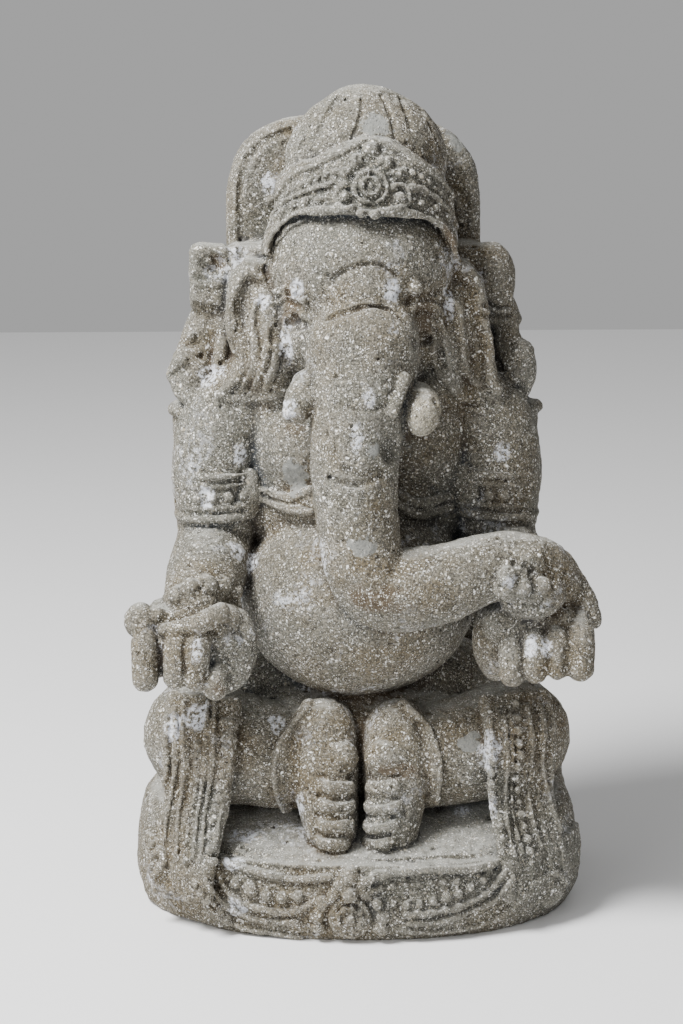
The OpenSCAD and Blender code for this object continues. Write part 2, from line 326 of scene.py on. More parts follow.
CLEARANCE = 10
FRONT_END, BACK_END, FOOT_END = -194, 180, -6
half_width = (cad_high[0] - cad_low[0]) / 2 / UNIT + CLEARANCE
stone = Block((-half_width, FRONT_END, FOOT_END), (half_width, BACK_END, HEIGHT + CLEARANCE), STEP)


# ---- laying ornament on the carved surface ---------------------------------
#
# Ornament follows routes of front-view points (x, z). The route lies on whatever
# stone stands foremost there, and lift says how far proud of it.

# A step this much longer than the spacing is a leap between two forms.
LEAP = 9


def evenly(points, spacing):
    """Points along a smooth line at an even spacing."""
    path = curve(points, 12)
    along = np.concatenate([[0], np.cumsum(np.linalg.norm(np.diff(path, axis=0), axis=1))])
    count = max(int(round(along[-1] / spacing)), 1)
    at = np.linspace(0, along[-1], count + 1)
    return np.stack([np.interp(at, along, path[:, i]) for i in range(path.shape[1])], 1)


def on_surface(points, lift):
    """Front-view points (x, z) as points (x, y, z) standing lift proud of the stone."""
    p = np.array(points, float)
    y = stone.front(p[:, 0], p[:, 1])
    p, y = p[y > stone.low[1] + 4], y[y > stone.low[1] + 4]
    return np.stack([p[:, 0], y - lift, p[:, 1]], 1)


def strand(points, radius, lift, spacing):
    """Tapers along a route on the stone, broken where it would leap between two forms."""
    path = on_surface(evenly(points, spacing), lift)
    route = np.hstack([path, np.full((len(path), 1), radius)])
    steps = zip(route[:-1], route[1:])
    return [cone(a, b) for a, b in steps if np.linalg.norm(b - a) < spacing + LEAP]


def cord(piece, points, radius, lift=None, spacing=4, blend=1.5):
    """A raised cord that lies on the stone along front-view points."""
    lift = radius * 0.35 if lift is None else lift
    stone.add(piece, strand(points, radius, lift, spacing), blend)


def groove(points, radius, lift=None, spacing=4, blend=1.2):
    """An incised line along front-view points."""
    lift = radius * 0.2 if lift is None else lift
    stone.cut(strand(points, radius, lift, spacing), blend)


def beads(piece, points, radius, spacing=None, lift=None, blend=0.8):
    """A row of beads along front-view points."""
    lift = radius * 0.4 if lift is None else lift
    spots = on_surface(evenly(points, spacing or 2.3 * radius), lift)
    stone.add(piece, [ball(p, radius * RANDOM.uniform(0.85, 1.1)) for p in spots], blend)


def mirrored(side, points):
    """Points with x measured towards the given side; -1 is the idol's right."""
    p = np.array(points, float)
    p[..., 0] *= side
    return p


# ---- the plinth and the slab ------------------------------------------------

PLINTH_W, PLINTH_D = 222, 167
PLINTH_TURN = math.radians(4)
PLINTH_TOP = 105
SWAG_TOP, SWAG_PROUD = 76, 5


def plinth_side(x, y, z, grow=0.0):
    """Distance outward from the plinth's barrel-shaped side wall."""
    c, s = math.cos(PLINTH_TURN), math.sin(PLINTH_TURN)
    barrel = 0.0035 * np.maximum(z - 45, 0) ** 2 + 0.008 * np.maximum(35 - z, 0) ** 2
    return oval(x * c - y * s, x * s + y * c, PLINTH_W, PLINTH_D, 2.25) + barrel - grow


def carve_plinth():
    def distance(x, y, z):
        top = z - np.minimum(PLINTH_TOP, PLINTH_TOP - 6 + 0.3 * (y + 80))
        body = -smooth_min(-top, -plinth_side(x, y, z), 14)
        return np.maximum(body, -z)

    stone.add("plinth", Shape((-228, -174, 0), (228, 174, 112), distance))
    stone.add("plinth", block_shape((188, 64, 66), (28, 44, 46), 12, (0, 0, -8)), 14)


def carve_slab():
    half, spring, rise, front, back = 127, 640, 125, 72, 130

    def distance(x, y, z):
        skirt = 0.05 * np.maximum(420 - z, 0)
        arch = oval(x, np.maximum(z - spring, 0), half, rise, 3.3) - skirt
        thick = np.abs(y - (front + back) / 2) - (back - front) / 2
        return np.maximum(-smooth_min(-arch, -thick, 16), 90 - z)

    stone.add("back_slab", Shape((-146, front, 90), (146, back, 766), distance))
    stone.add("back_slab", block_shape((0, 44, 578), (133, 44, 66), 18), 8)


# ---- the body ----------------------------------------------------------------


def carve_body():
    stone.add("hips", ellipsoid((0, 30, 180), (166, 80, 84)))
    stone.add("hips", ellipsoid((0, -22, 160), (150, 70, 60)), 8)
    stone.add("belly", ellipsoid((0, -29, 307), (114, 100, 99)))
    torso = [ellipsoid((0, 6, 440), (102, 70, 110)), ellipsoid((0, -10, 402), (98, 78, 40))]
    for side in (-1, 1):
        torso += limb([[side * 56, 4, 400, 62], [side * 66, 6, 500, 58]])
    stone.add("torso", torso, 8)
    for side in (-1, 1):
        stone.add("torso", ellipsoid((side * 50, -31, 460), (48, 44, 52)), 10)


def carve_legs():
    for side, name in SIDES:
        knee = [side * 154, -32, 164, 57]
        shin = limb([knee, [side * 118, -62, 160, 54], [side * 62, -68, 152, 50]])
        thigh = limb([knee, [side * 124, 44, 172, 60]])
        stone.add(name + "_leg", shin + thigh)


def carve_feet():
    sole = [[35, -84, 184, 31], [35, -99, 150, 33], [32, -112, 116, 28], [30, -119, 98, 25]]
    for side, name in SIDES:
        stone.add(name + "_foot", limb(mirrored(side, sole)))


def carve_head():
    stone.add("head", ellipsoid((3, -26, 630), (91, 84, 74)))
    for side in (-1, 1):
        stone.add("head", ellipsoid((3 + side * 38, -48, 574), (44, 46, 48)), 16)
    stone.add("head", ellipsoid((0, 20, 588), (104, 66, 84)), 8)
    stone.add("topknot", ellipsoid((9, 22, 724), (78, 70, 70)))
    stone.add("topknot", ellipsoid((7, 24, 768), (43, 42, 31)), 5)
    stone.add("topknot", ellipsoid((6, 12, 686), (86, 82, 40)), 10)


def carve_ears():
    outline = {
        -1: [(-90, 633), (-107, 635), (-122, 622), (-126, 599), (-125, 570), (-119, 553), (-117, 540),
            (-127, 520), (-136, 504), (-114, 501), (-79, 503), (-64, 514), (-65, 551), (-79, 570),
            (-83, 599)],
        1: [(89, 634), (106, 630), (119, 615), (125, 586), (128, 555), (133, 529), (137, 503),
            (120, 493), (95, 496), (74, 504), (63, 517), (64, 550), (76, 569), (81, 598)],
    }
    for side, name in SIDES:
        flap = plate(outline[side], -46, 60, 12)
        stone.add(name + "_ear", flap, 5)
        stone.add(name + "_ear", ellipsoid((side * 84, -42, 556), (24, 30, 58), (0, side * 6, 0)), 9)


def carve_trunk():
    """Down the front, then out to the idol's left hand."""
    route = [
        [4, -56, 592, 57], [3, -82, 556, 54], [-2, -107, 516, 47], [-6, -120, 470, 43],
        [-6, -127, 430, 41], [-4, -130, 396, 39], [1, -132, 364, 39], [17, -133, 340, 39],
        [44, -134, 338, 39], [78, -133, 343, 36], [110, -131, 354, 33], [140, -127, 360, 31],
        [168, -120, 354, 29], [184, -114, 338, 24],
    ]
    stone.add("trunk", limb(route), 4)


def carve_arms():
    upper = [[100, 0, 506, 40], [128, -6, 470, 45], [137, -12, 425, 44], [135, -12, 382, 42]]
    fore = [[138, -16, 352, 40], [148, -64, 334, 38], [158, -104, 316, 30]]
    for side, name in SIDES:
        stone.add(name + "_upper_arm", limb(mirrored(side, upper)), 3)
        stone.add(name + "_forearm", limb(mirrored(side, fore)), 4)


def carve_hands():
    """Palms up: the right hand holds the broken tusk, the left one a sweet."""
    right = [block_shape((-158, -106, 300), (46, 36, 20), 17)]
    right += limb([[-150, -60, 338, 31], [-158, -98, 318, 28]])
    right += [ellipsoid((-172, -104, 322), (17, 14, 10)), ellipsoid((-150, -90, 336), (15, 14, 11))]
    right += [ellipsoid((-132, -88, 338), (14, 14, 11))]
    right += limb([[-121, -112, 298, 17], [-117, -124, 284, 19], [-120, -130, 262, 18],
        [-130, -136, 250, 14]])
    right += [block_shape((-161, -129, 277), (51, 17, 23), 10)]
    stone.add("right_hand", right, 5)
    stone.add("right_hand", ellipsoid((-208, -130, 308), (16, 17, 17)), 3)
    stone.add("right_hand", ball((-193, -134, 313), 9), 3)
    for finger in (
        [[-202, -130, 298, 12], [-205, -146, 288, 12], [-204, -149, 257, 13]],
        [[-174, -132, 296, 11], [-174, -148, 288, 12], [-176, -150, 259, 12]],
        [[-153, -132, 298, 12], [-154, -149, 289, 13], [-156, -151, 257, 12.5]],
        [[-132, -138, 266, 11], [-138, -150, 256, 12], [-138, -150, 247, 12.5]],
    ):
        stone.add("right_hand", limb(finger), 2)
    tusk = [[-186, -144, 303, 6], [-164, -150, 308, 8], [-146, -153, 314, 9.5], [-133, -149, 320, 9]]
    stone.add("held_tusk", limb(tusk), 3)

    left = [block_shape((160, -108, 300), (46, 34, 20), 17), ellipsoid((130, -108, 280), (24, 26, 40))]
    left += limb([[150, -60, 338, 31], [158, -98, 318, 28]])
    left += [block_shape((172, -128, 278), (40, 16, 22), 10)]
    stone.add("left_hand", left, 6)
    for finger in (
        [[138, -130, 288, 11], [139, -147, 276, 12], [140, -149, 257, 11.5]],
        [[162, -134, 292, 11], [162, -150, 283, 12.5], [162, -150, 262, 12]],
        [[182, -134, 296, 10], [182, -150, 287, 11], [183, -150, 263, 11]],
        [[205, -130, 300, 12], [205, -148, 290, 12.5], [204, -150, 264, 13]],
    ):
        stone.add("left_hand", limb(finger), 2)
    stone.add("left_hand", limb([[186, -92, 346, 20], [206, -108, 324, 15], [219, -120, 303, 9]]), 4)
    stone.add("sweet", ellipsoid((160, -130, 334), (33, 33, 27)), 3)
    stone.add("trunk", limb([[156, -134, 366, 20], [142, -150, 356, 17], [135, -156, 345, 15]]), 6)


def carve_rear_arms():
    arm = [[118, 34, 470, 38], [146, 28, 420, 30], [156, 20, 472, 24]]
    for side, name in SIDES:
        stone.add(name + "_rear_arm", limb(mirrored(side, arm)), 3)
        wrist = ellipsoid((side * 154, 16, 483), (31, 27, 11), (0, side * -4, 0))
        stone.add(name + "_rear_bracelet", wrist, 1.5)
    stone.add("right_rear_hand", limb([[-154, 16, 500, 18], [-160, 6, 520, 22], [-154, 14, 550, 19],
        [-146, 22, 580, 15]]), 3)
    stone.add("right_rear_hand", limb([[-168, -2, 536, 12], [-175, 2, 520, 10]]), 4)
    stone.add("right_rear_hand", limb([[-170, 0, 508, 11], [-160, -8, 500, 11]]), 3)
    stone.add("right_rear_hand", ellipsoid((-128, 14, 545), (22, 18, 42)), 5)
    stone.add("right_rear_hand", limb([[-132, -4, 552, 7], [-134, -6, 530, 8]]), 3)
    stone.add("left_rear_hand", limb([[152, 16, 500, 18], [156, 8, 524, 20], [150, 16, 552, 18],
        [142, 22, 580, 16]]), 3)
    stone.add("left_rear_hand", limb([[160, -2, 540, 12], [165, 0, 520, 11]]), 4)
    stone.add("left_rear_hand", limb([[162, 0, 506, 9], [156, -8, 498, 9]]), 3)
    stone.add("right_emblem", block_shape((-143, 26, 625), (20, 26, 20), 9, (0, 4, 0)), 2)
    stone.add("right_emblem", block_shape((-145, 24, 597), (18, 26, 16), 8), 3)
    stone.add("left_emblem", ellipsoid((130, 24, 612), (26, 30, 34)), 3)
    stone.add("left_emblem", block_shape((132, 26, 590), (20, 26, 24), 12), 5)
    stone.cut(ellipsoid((171, 12, 561), (13, 30, 11)), 6)


def carve_diadem():
    """A band with a peaked front, wrapped round the brow and the hair."""
    outline = [(-91, 641), (-91, 676), (-83, 701), (-66, 723), (-41, 734), (-15, 747), (7, 756),
        (29, 750), (44, 741), (61, 730), (79, 717), (92, 696), (96, 674), (93, 640), (86, 640),
        (83, 655), (74, 668), (59, 677), (36, 681), (-2, 682), (-35, 682), (-56, 680), (-70, 673),
        (-79, 661), (-83, 641)]
    skin = [ellipsoid((4, -26, 634), (98, 92, 83)), ellipsoid((11, 8, 700), (90, 95, 66))]
    low, high = np.min([s.low for s in skin], 0), np.max([s.high for s in skin], 0)

    def wrap(x, y, z):
        return smooth_min(skin[0].distance(x, y, z), skin[1].distance(x, y, z), 20)

    band = common(Shape(low, high, wrap), plate(outline, -140, 30, 1), 5)
    stone.add("diadem", band, 1.5)


def draped_band(side, inner, outer):
    """Folds of cloth hanging side by side between two routes of [x, y, z]."""
    inner, outer = mirrored(side, inner), mirrored(side, outer)
    folds = []
    for share in np.linspace(0, 1, 9):
        middle = inner + (outer - inner) * share
        radius = 7 + RANDOM.uniform(-0.6, 1.2)
        folds += limb([[*point, radius] for point in middle])
    return folds


def carve_sashes():
    """Two hanging ends; the right one's inner edge slants further outward towards its foot."""
    inner = [
        [122, -90, 214], [125, -112, 192], [127, -122, 160], [129, -127, 124],
        [134, -141, 92], [139, -150, 66], [140, -148, 40],
    ]
    outer = [
        [178, -66, 214], [184, -84, 190], [184, -92, 158], [182, -98, 124],
        [188, -108, 92], [193, -114, 66], [194, -112, 40],
    ]
    slant = [0, 0, 1, 3, 7, 9, 9]
    for side, name in SIDES:
        edge = np.array(inner, float)
        edge[:, 0] += slant if side < 0 else 0
        stone.add(name + "_sash", draped_band(side, edge, outer), 5)


def carve_swag():
    """The raised band round the front of the plinth that the garland is cut in."""
    def distance(x, y, z):
        raised = plinth_side(x, y, z, SWAG_PROUD)
        return np.maximum(np.maximum(raised, np.abs(z - SWAG_TOP / 2) - SWAG_TOP / 2), y + 52)

    stone.add("front_swag", Shape((-230, -176, 0), (230, -52, SWAG_TOP), distance), 3)


carve_plinth()
carve_slab()
carve_body()
carve_legs()
carve_feet()
carve_head()
carve_trunk()
carve_arms()
carve_rear_arms()
carve_ears()
carve_hands()
carve_diadem()
carve_swag()
carve_sashes()

marks = {"lichen": [], "mortar": [], "stain": []}


# ---- carved detail, from the crown down ---------------------------------------


def boss(piece, spot, radius, lift=None, blend=1.0, flat=1.0):
    """A raised ball, or a flatter dome, on the surface at one front-view point."""
    lift = radius * 0.3 if lift is None else lift
    centre = on_surface([spot], lift)[0]
    stone.add(piece, ellipsoid(centre, (radius, radius * flat, radius)), blend)


def hollow(spot, radius, depth=0.0, blend=1.5):
    """A pit cut into the surface at one front-view point."""
    centre = on_surface([spot], -depth)[0]
    stone.cut(ellipsoid(centre, (radius, radius * 1.2, radius)), blend)


def swelling(piece, spot, radii, proud, blend=6.0):
    """A broad low bulge that stands proud of the surface."""
    centre = on_surface([spot], proud - radii[1])[0]
    stone.add(piece, ellipsoid(centre, radii), blend)


def detail_slab():
    groove([(-112, 631), (-112, 654), (-113, 687), (-109, 713), (-102, 728), (-89, 740), (-73, 748),
        (-63, 751)], 4.4)
    groove([(104, 632), (112, 655), (112, 686), (108, 708), (100, 722)], 1.8)


def detail_topknot():
    groove([(-58, 758), (-62, 746), (-61, 736), (-57, 727)], 2.6, 0)
    cord("topknot", [(-51, 751), (-56, 743), (-57, 735), (-53, 729)], 3.0)
    for line in (
        [(4, 785), (3, 774), (-1, 762), (-6, 751)],
        [(22, 788), (29, 776), (33, 763), (34, 750)],
        [(41, 790), (44, 780), (47, 770), (50, 757)],
        [(60, 777), (67, 762), (75, 745), (81, 730)],
        [(-18, 788), (-26, 777), (-34, 765), (-40, 752)],
    ):
        groove(line, 2.6, -0.4)


def detail_diadem():
    """The crown band: its edges, two rows of beads, scrolls and a crest of leaves."""
    lay, row = partial(cord, "diadem"), partial(beads, "diadem")
    rim = [(-88, 636), (-87, 652), (-82, 662), (-72, 674), (-58, 684), (-40, 687), (-19, 688),
        (-2, 688), (13, 687), (29, 686), (45, 685), (61, 680), (76, 671), (86, 658), (93, 636)]
    top = [(-83, 682), (-65, 714), (-40, 727), (-14, 740), (8, 748), (31, 743), (46, 734), (63, 722),
        (80, 709), (103, 679)]
    for line in (
        [(-83, 673), (-76, 685), (-63, 697), (-44, 706), (-28, 711)],
        [(47, 708), (59, 705), (74, 695), (86, 681), (93, 667)],
    ):
        lay(line, 3.2, 2.2)
    lay(rim, 4.0, 0.8, blend=2.5)
    lay(top, 3.4, 1.8)
    row([(-80, 675), (-71, 684), (-58, 692), (-39, 696)], 5.4, 12.5, 1.5)
    row([(57, 693), (71, 688), (83, 678)], 5.0, 12.5, 1.5)
    row([(-73, 694), (-59, 706), (-41, 715), (-24, 721)], 3.6, 8.5, 1.2)
    row([(41, 723), (56, 717), (70, 706), (83, 694)], 3.6, 8.5, 1.2)
    lay([(-7, 692), (-16, 690), (-23, 696), (-22, 706), (-14, 711), (-6, 708)], 3.0, 2.2)
    lay([(27, 690), (38, 690), (45, 696), (44, 706), (36, 711), (28, 708)], 3.0, 2.2)
    for spot, radius in (((-14, 700), 5.5), ((36, 699), 5.5), ((-1, 686), 5), ((12, 685), 5)):
        boss("diadem", spot, radius, 2.2)
    leaves = (((10, 740), 8.5), ((-4, 730), 7.5), ((23, 730), 7.5), ((-13, 721), 6), ((33, 720), 6))
    for spot, radius in leaves:
        boss("diadem", spot, radius, 0.5, 2.5)
    for line in (
        [(2, 743), (-2, 736), (-1, 729), (5, 726)], [(17, 743), (23, 736), (21, 729), (15, 725)],
        [(-9, 732), (-15, 725), (-11, 718), (-5, 717)], [(29, 732), (34, 725), (32, 717), (25, 717)],
    ):
        groove(line, 2.0, -0.4)


def detail_rosette(piece, spot, size, petals, ringed=False):
    """A round flower that leans with the surface: a cushion, a rim, petals or a ring, a boss."""
    x, z = spot
    under, centre, over = on_surface([(x, z - 7), (x, z), (x, z + 7)], 0)
    up = (over - under) / np.linalg.norm(over - under)
    forward = np.array([0, -up[2], up[1]])
    turns = np.linspace(0, 2 * math.pi, petals + 1)
    circle = np.outer(np.cos(turns), (1, 0, 0)) + np.outer(np.sin(turns), up)

    def wreath(reach, proud, radius):
        middle = centre + size * (reach * circle + proud * forward)
        return np.hstack([middle, np.full((petals + 1, 1), size * radius)])

    stone.cut(limb(wreath(1.2, 0.16, 0.13)), 1)
    stone.add(piece, limb(wreath(0.45, -0.1, 0.34)) + [ball(centre, size * 0.3)], 2)
    stone.add(piece, limb(wreath(0.95, 0.1, 0.17)), 1)
    if ringed:
        stone.add(piece, limb(wreath(0.52, 0.26, 0.14)), 0.8)
    else:
        stone.add(piece, [ball(p[:3], p[3]) for p in wreath(0.62, 0.24, 0.19)[:-1]], 0.8)
    stone.add(piece, ball(centre + size * 0.24 * forward, size * (0.2 if ringed else 0.3)), 0.8)


def detail_face():
    """The forehead's arc, the trunk's root, and both eyes in their folds."""
    swelling("head", (4, 614), (33, 20, 21), 5)
    swelling("trunk", (3, 569), (50, 30, 32), 4, 10)
    groove([(-27, 625), (-19, 632), (-10, 636), (1, 639), (14, 640), (25, 635), (32, 628)], 2.6, -0.8)
    groove([(-31, 591), (-22, 595), (-11, 598), (4, 601), (17, 600), (27, 596), (38, 586)], 3.8, -2.2)
    cord("head", [(-78, 597), (-73, 603), (-66, 606), (-58, 604), (-50, 599)], 2.8, 1.2, blend=2)
    cord("head", [(-72, 596), (-71, 585), (-70, 574)], 2.8, 0.8, blend=2)
    groove([(-77, 594), (-76, 583), (-74, 571)], 2.8, 0)
    groove([(-66, 600), (-59, 598), (-52, 594)], 2.2, 0)
    for spot, radius in (((-78, 609), 5.5), ((-71, 613), 5), ((-63, 611), 4.5), ((-53, 605), 4.5)):
        boss("head", spot, radius, 1.6, 2)
    for spot in ((-66, 581), (-60, 578), (-54, 580), (-61, 584)):
        hollow(spot, 5.6, 0.5, 3)
    boss("head", (50, 616), 7, 1.5, 3)
    boss("head", (61, 612), 5, 1, 2.5)
    boss("head", (72, 606), 4.5, 1, 2.5)
    groove([(42, 602), (48, 608), (57, 610), (67, 609), (78, 612)], 2.8, -0.4)
    cord("head", [(47, 596), (54, 600), (64, 600), (73, 596), (79, 588)], 3, 0.8, blend=2)
    groove([(52, 592), (61, 594), (69, 590), (75, 582)], 2.4, -0.2)
    groove([(68, 586), (69, 575), (66, 564)], 2.4, 0)
    for spot in ((50, 569), (56, 565), (64, 565), (58, 570)):
        hollow(spot, 5.8, 0.5, 3)


def detail_ears():
    for line, radius in (
        ([(-92, 619), (-100, 625), (-109, 623), (-115, 614), (-118, 601), (-118, 584), (-117, 570),
            (-111, 557), (-108, 544), (-111, 531), (-119, 521), (-130, 511)], 3.6),
        ([(-96, 601), (-100, 590), (-101, 575), (-99, 561), (-99, 546), (-104, 531), (-110, 518)], 2.8),
        ([(-88, 577), (-87, 562), (-89, 547), (-94, 533), (-99, 519)], 2.8),
        ([(-79, 560), (-80, 545), (-84, 532), (-89, 520)], 2.8),
        ([(-122, 599), (-123, 582), (-121, 566), (-117, 551)], 2.8),
    ):
        cord("right_ear", line, radius + 0.8, 0.2, blend=5)
    cord("right_ear", [(-133, 508), (-122, 504), (-108, 505), (-92, 507), (-79, 511),
        (-68, 516)], 3.6, -0.6, blend=5)
    for line in (
        [(-93, 615), (-101, 618), (-108, 610), (-110, 598), (-111, 584), (-107, 566), (-103, 551),
            (-105, 537), (-111, 523), (-120, 511)],
        [(-92, 599), (-96, 588), (-96, 574), (-93, 559), (-94, 545), (-99, 530), (-105, 517)],
        [(-83, 574), (-83, 559), (-85, 544), (-90, 530), (-94, 516)],
        [(-73, 553), (-75, 540), (-80, 524)],
        [(-113, 508), (-103, 505), (-91, 509), (-81, 518)],
        [(-115, 599), (-116, 584), (-114, 569)],
    ):
        groove(line, 2.2, -0.3)
    for line, radius in (
        ([(99, 630), (108, 623), (114, 611), (116, 592), (120, 575), (124, 559), (125, 543),
            (127, 523), (133, 511)], 3.6),
        ([(85, 601), (91, 598), (95, 589), (96, 576), (98, 559), (100, 541), (107, 523), (114, 516)], 2.8),
        ([(75, 582), (80, 564), (82, 547), (86, 531), (94, 513), (103, 504)], 2.8),
        ([(106, 606), (109, 589), (111, 572), (114, 554)], 2.6),
        ([(68, 555), (72, 538), (80, 523), (91, 509)], 2.8),
    ):
        cord("left_ear", line, radius + 0.8, 0.2, blend=5)
    for line in (
        [(92, 619), (99, 616), (106, 607), (110, 592), (113, 573), (117, 558), (118, 541), (120, 523)],
        [(85, 593), (90, 586), (91, 571), (93, 556), (95, 538), (101, 522)],
        [(102, 599), (103, 581), (106, 561), (110, 539)],
        [(68, 532), (77, 520), (87, 509), (101, 498), (113, 497), (121, 502)],
        [(103, 521), (109, 514), (116, 513), (123, 517)],
        [(73, 574), (76, 556), (79, 539)],
    ):
        groove(line, 2.2, -0.3)


def detail_tusks():
    """Two broken stumps; the left one is longer and paler."""
    stump = [[54, -98, 512, 16], [56, -120, 508, 17], [56, -133, 502, 15], [54, -138, 496, 12]]
    stone.add("left_tusk", limb(stump), 6)
    stone.cut(ellipsoid((38, -158, 476), (24, 24, 19)), 1.5)
    stone.cut(ellipsoid((74, -152, 486), (14, 18, 15)), 1.5)
    stone.cut(ellipsoid((50, -152, 528), (26, 16, 12)), 4)
    stone.add("right_tusk", limb([[-52, -100, 524, 15], [-58, -118, 514, 15], [-62, -124, 504, 13]]), 7)
    stone.cut(ellipsoid((-66, -140, 494), (13, 12, 8)), 2)
    groove([(67, 515), (72, 500), (70, 488)], 3.5, -1.6, blend=3)
    cord("trunk", [(38, 536), (33, 522), (26, 509)], 6.5, 2.5, blend=2)
    stone.cut(limb([[-63, -118, 486, 9], [-58, -112, 468, 9], [-51, -108, 444, 5]]), 5)


def detail_trunk():
    groove([(-28, 518), (-17, 514), (-5, 511), (8, 511), (21, 515)], 2.2, -0.2)
    groove([(-19, 458), (-10, 454), (0, 453), (13, 459)], 3.0, -0.8)
    groove([(-32, 448), (-21, 445), (-9, 444), (3, 446), (19, 453)], 3.2, -0.8)
    groove([(-25, 485), (-27, 468)], 2, 0)


def detail_chest():
    for line in (
        [(-94, 416), (-81, 412), (-66, 411), (-47, 420)], [(-94, 406), (-81, 403), (-66, 401), (-47, 400)],
        [(31, 421), (54, 407), (76, 407), (88, 408)], [(31, 412), (54, 397), (76, 397), (88, 398)],
    ):
        cord("waist_band", line, 4.4, 1.4, blend=2)
    groove([(-94, 411), (-81, 407), (-66, 406), (-48, 405)], 1.8, 0)
    groove([(31, 417), (54, 403), (76, 402), (86, 403)], 1.8, 0)


ARM_X, ARM_Y, ARM_RADIUS = 133, -14, 43
BEAD_COUNT = 18


def detail_armlets():
    """Four rings round each upper arm, with beads between the middle two."""
    for side, name in SIDES:
        for height, radius in ((430, 3.2), (421, 2.6), (400, 2.8), (389, 3.8)):
            band = ring((side * ARM_X, ARM_Y, height), ARM_RADIUS, radius, (0, side * 4, 0))
            stone.add(name + "_armlet", band, 2.5)
        for k in range(BEAD_COUNT):
            angle = 2 * math.pi * k / BEAD_COUNT
            x = side * ARM_X + ARM_RADIUS * math.cos(angle)
            y = ARM_Y + ARM_RADIUS * math.sin(angle)
            height = 410 + side * 0.07 * (ARM_X * side - x)
            stone.add(name + "_armlet", ball((x, y, height), 5), 1)
        stone.add(name + "_armlet", ellipsoid((side * 104, -44, 414), (12, 10, 24)), 3)


def detail_emblems():
    """What the rear hands hold, and the lines of their fingers."""
    groove([(-158, 615), (-147, 613), (-132, 615)], 2.4)
    groove([(-157, 587), (-145, 585), (-132, 584)], 4, -0.5)
    hollow((-138, 628), 15, -10, 3)
    boss("right_emblem", (-144, 630), 5, 0, 3)
    groove([(-154, 605), (-145, 603), (-132, 605)], 2, 0)
    groove([(-181, 520), (-171, 527), (-160, 531)], 3)
    boss("right_rear_hand", (-161, 558), 6, 0, 2)
    groove([(-167, 556), (-165, 551), (-159, 550), (-154, 553)], 2.2, 0)
    hollow((-151, 539), 3.5)
    groove([(120, 593), (136, 585), (148, 587)], 2.6, -0.3)
    groove([(120, 584), (136, 576), (148, 578)], 3, -0.3)
    cord("left_emblem", [(120, 588), (136, 581), (148, 582)], 2.6, 1)
    groove([(138, 532), (142, 520), (149, 512), (163, 507)], 3.2)
    groove([(151, 553), (154, 543), (157, 531)], 2.2)


def detail_feet():
    toes = {
        "right": (
            [(-31, 145), (-14, 142)], [(-33, 127), (-14, 125)], [(-35, 109), (-16, 107)],
            [(-36, 92), (-20, 89)],
        ),
        "left": (
            [(11, 140), (30, 143)], [(10, 121), (30, 125)], [(9, 103), (27, 108)],
            [(9, 85), (22, 90)],
        ),
    }
    for name, lines in toes.items():
        for line in lines:
            cord(name + "_foot", line, 8.6, -1.6, 3, 3)
    swelling("right_foot", (-21, 167), (19, 16, 17), 6, 4)
    swelling("left_foot", (25, 167), (22, 16, 17), 6, 4)
    for line in (
        [(-40, 154), (-23, 152), (-6, 149)], [(-41, 135), (-11, 132)], [(-43, 117), (-12, 114)],
        [(-44, 99), (-16, 98)], [(7, 148), (23, 151), (38, 154)], [(6, 127), (33, 133)],
        [(5, 109), (30, 116)], [(5, 92), (26, 100)],
    ):
        groove(line, 3.0, -1.0)


def detail_hands():
    """The trunk's tip on the sweet, the creases between fingers, and the knuckles."""
    for spot in ((151, 365), (157, 359), (142, 368)):
        hollow(spot, 4.6, 1, 2.5)
    boss("trunk", (132, 356), 10, 0, 3)
    boss("sweet", (147, 346), 9, 0, 3)
    boss("sweet", (167, 347), 8, 0, 3)
    groove([(124, 336), (135, 328), (148, 326), (163, 329), (172, 336)], 2.4, -0.2)
    groove([(171, 368), (178, 356), (178, 344)], 2.4, 0)
    groove([(140, 318), (147, 318), (155, 321), (165, 325), (179, 326)], 3)
    groove([(150, 307), (166, 310), (186, 313)], 2, 0)
    groove([(-167, 292), (-167, 280), (-167, 264)], 2.4, 0)
    groove([(-140, 310), (-131, 310), (-122, 301), (-116, 293)], 2.2, 0)
    groove([(190, 284), (190, 272), (190, 261)], 3, 1)
    knuckles = (((-174, 331), 9), ((-160, 338), 8), ((-145, 339), 9), ((-131, 336), 8), ((-119, 325), 8))
    for spot, radius in knuckles:
        boss("right_hand", spot, radius, -1, 4)


def detail_hems():
    cord("right_hem", [(-50, 210), (-64, 193), (-75, 179), (-79, 156), (-78, 130),
        (-71, 111)], 7, -3, blend=3)
    cord("right_hem", [(-52, 211), (-67, 195), (-79, 180), (-83, 157), (-81, 129), (-74, 109)], 2.8, 1)
    cord("left_hem", [(42, 211), (57, 197), (65, 182), (70, 165), (71, 142), (68, 120)], 7, -3, blend=3)
    cord("left_hem", [(46, 212), (61, 199), (69, 185), (75, 167), (76, 141), (73, 119)], 2.8, 1)
    groove([(40, 208), (53, 195), (61, 179), (65, 161), (66, 138)], 2)


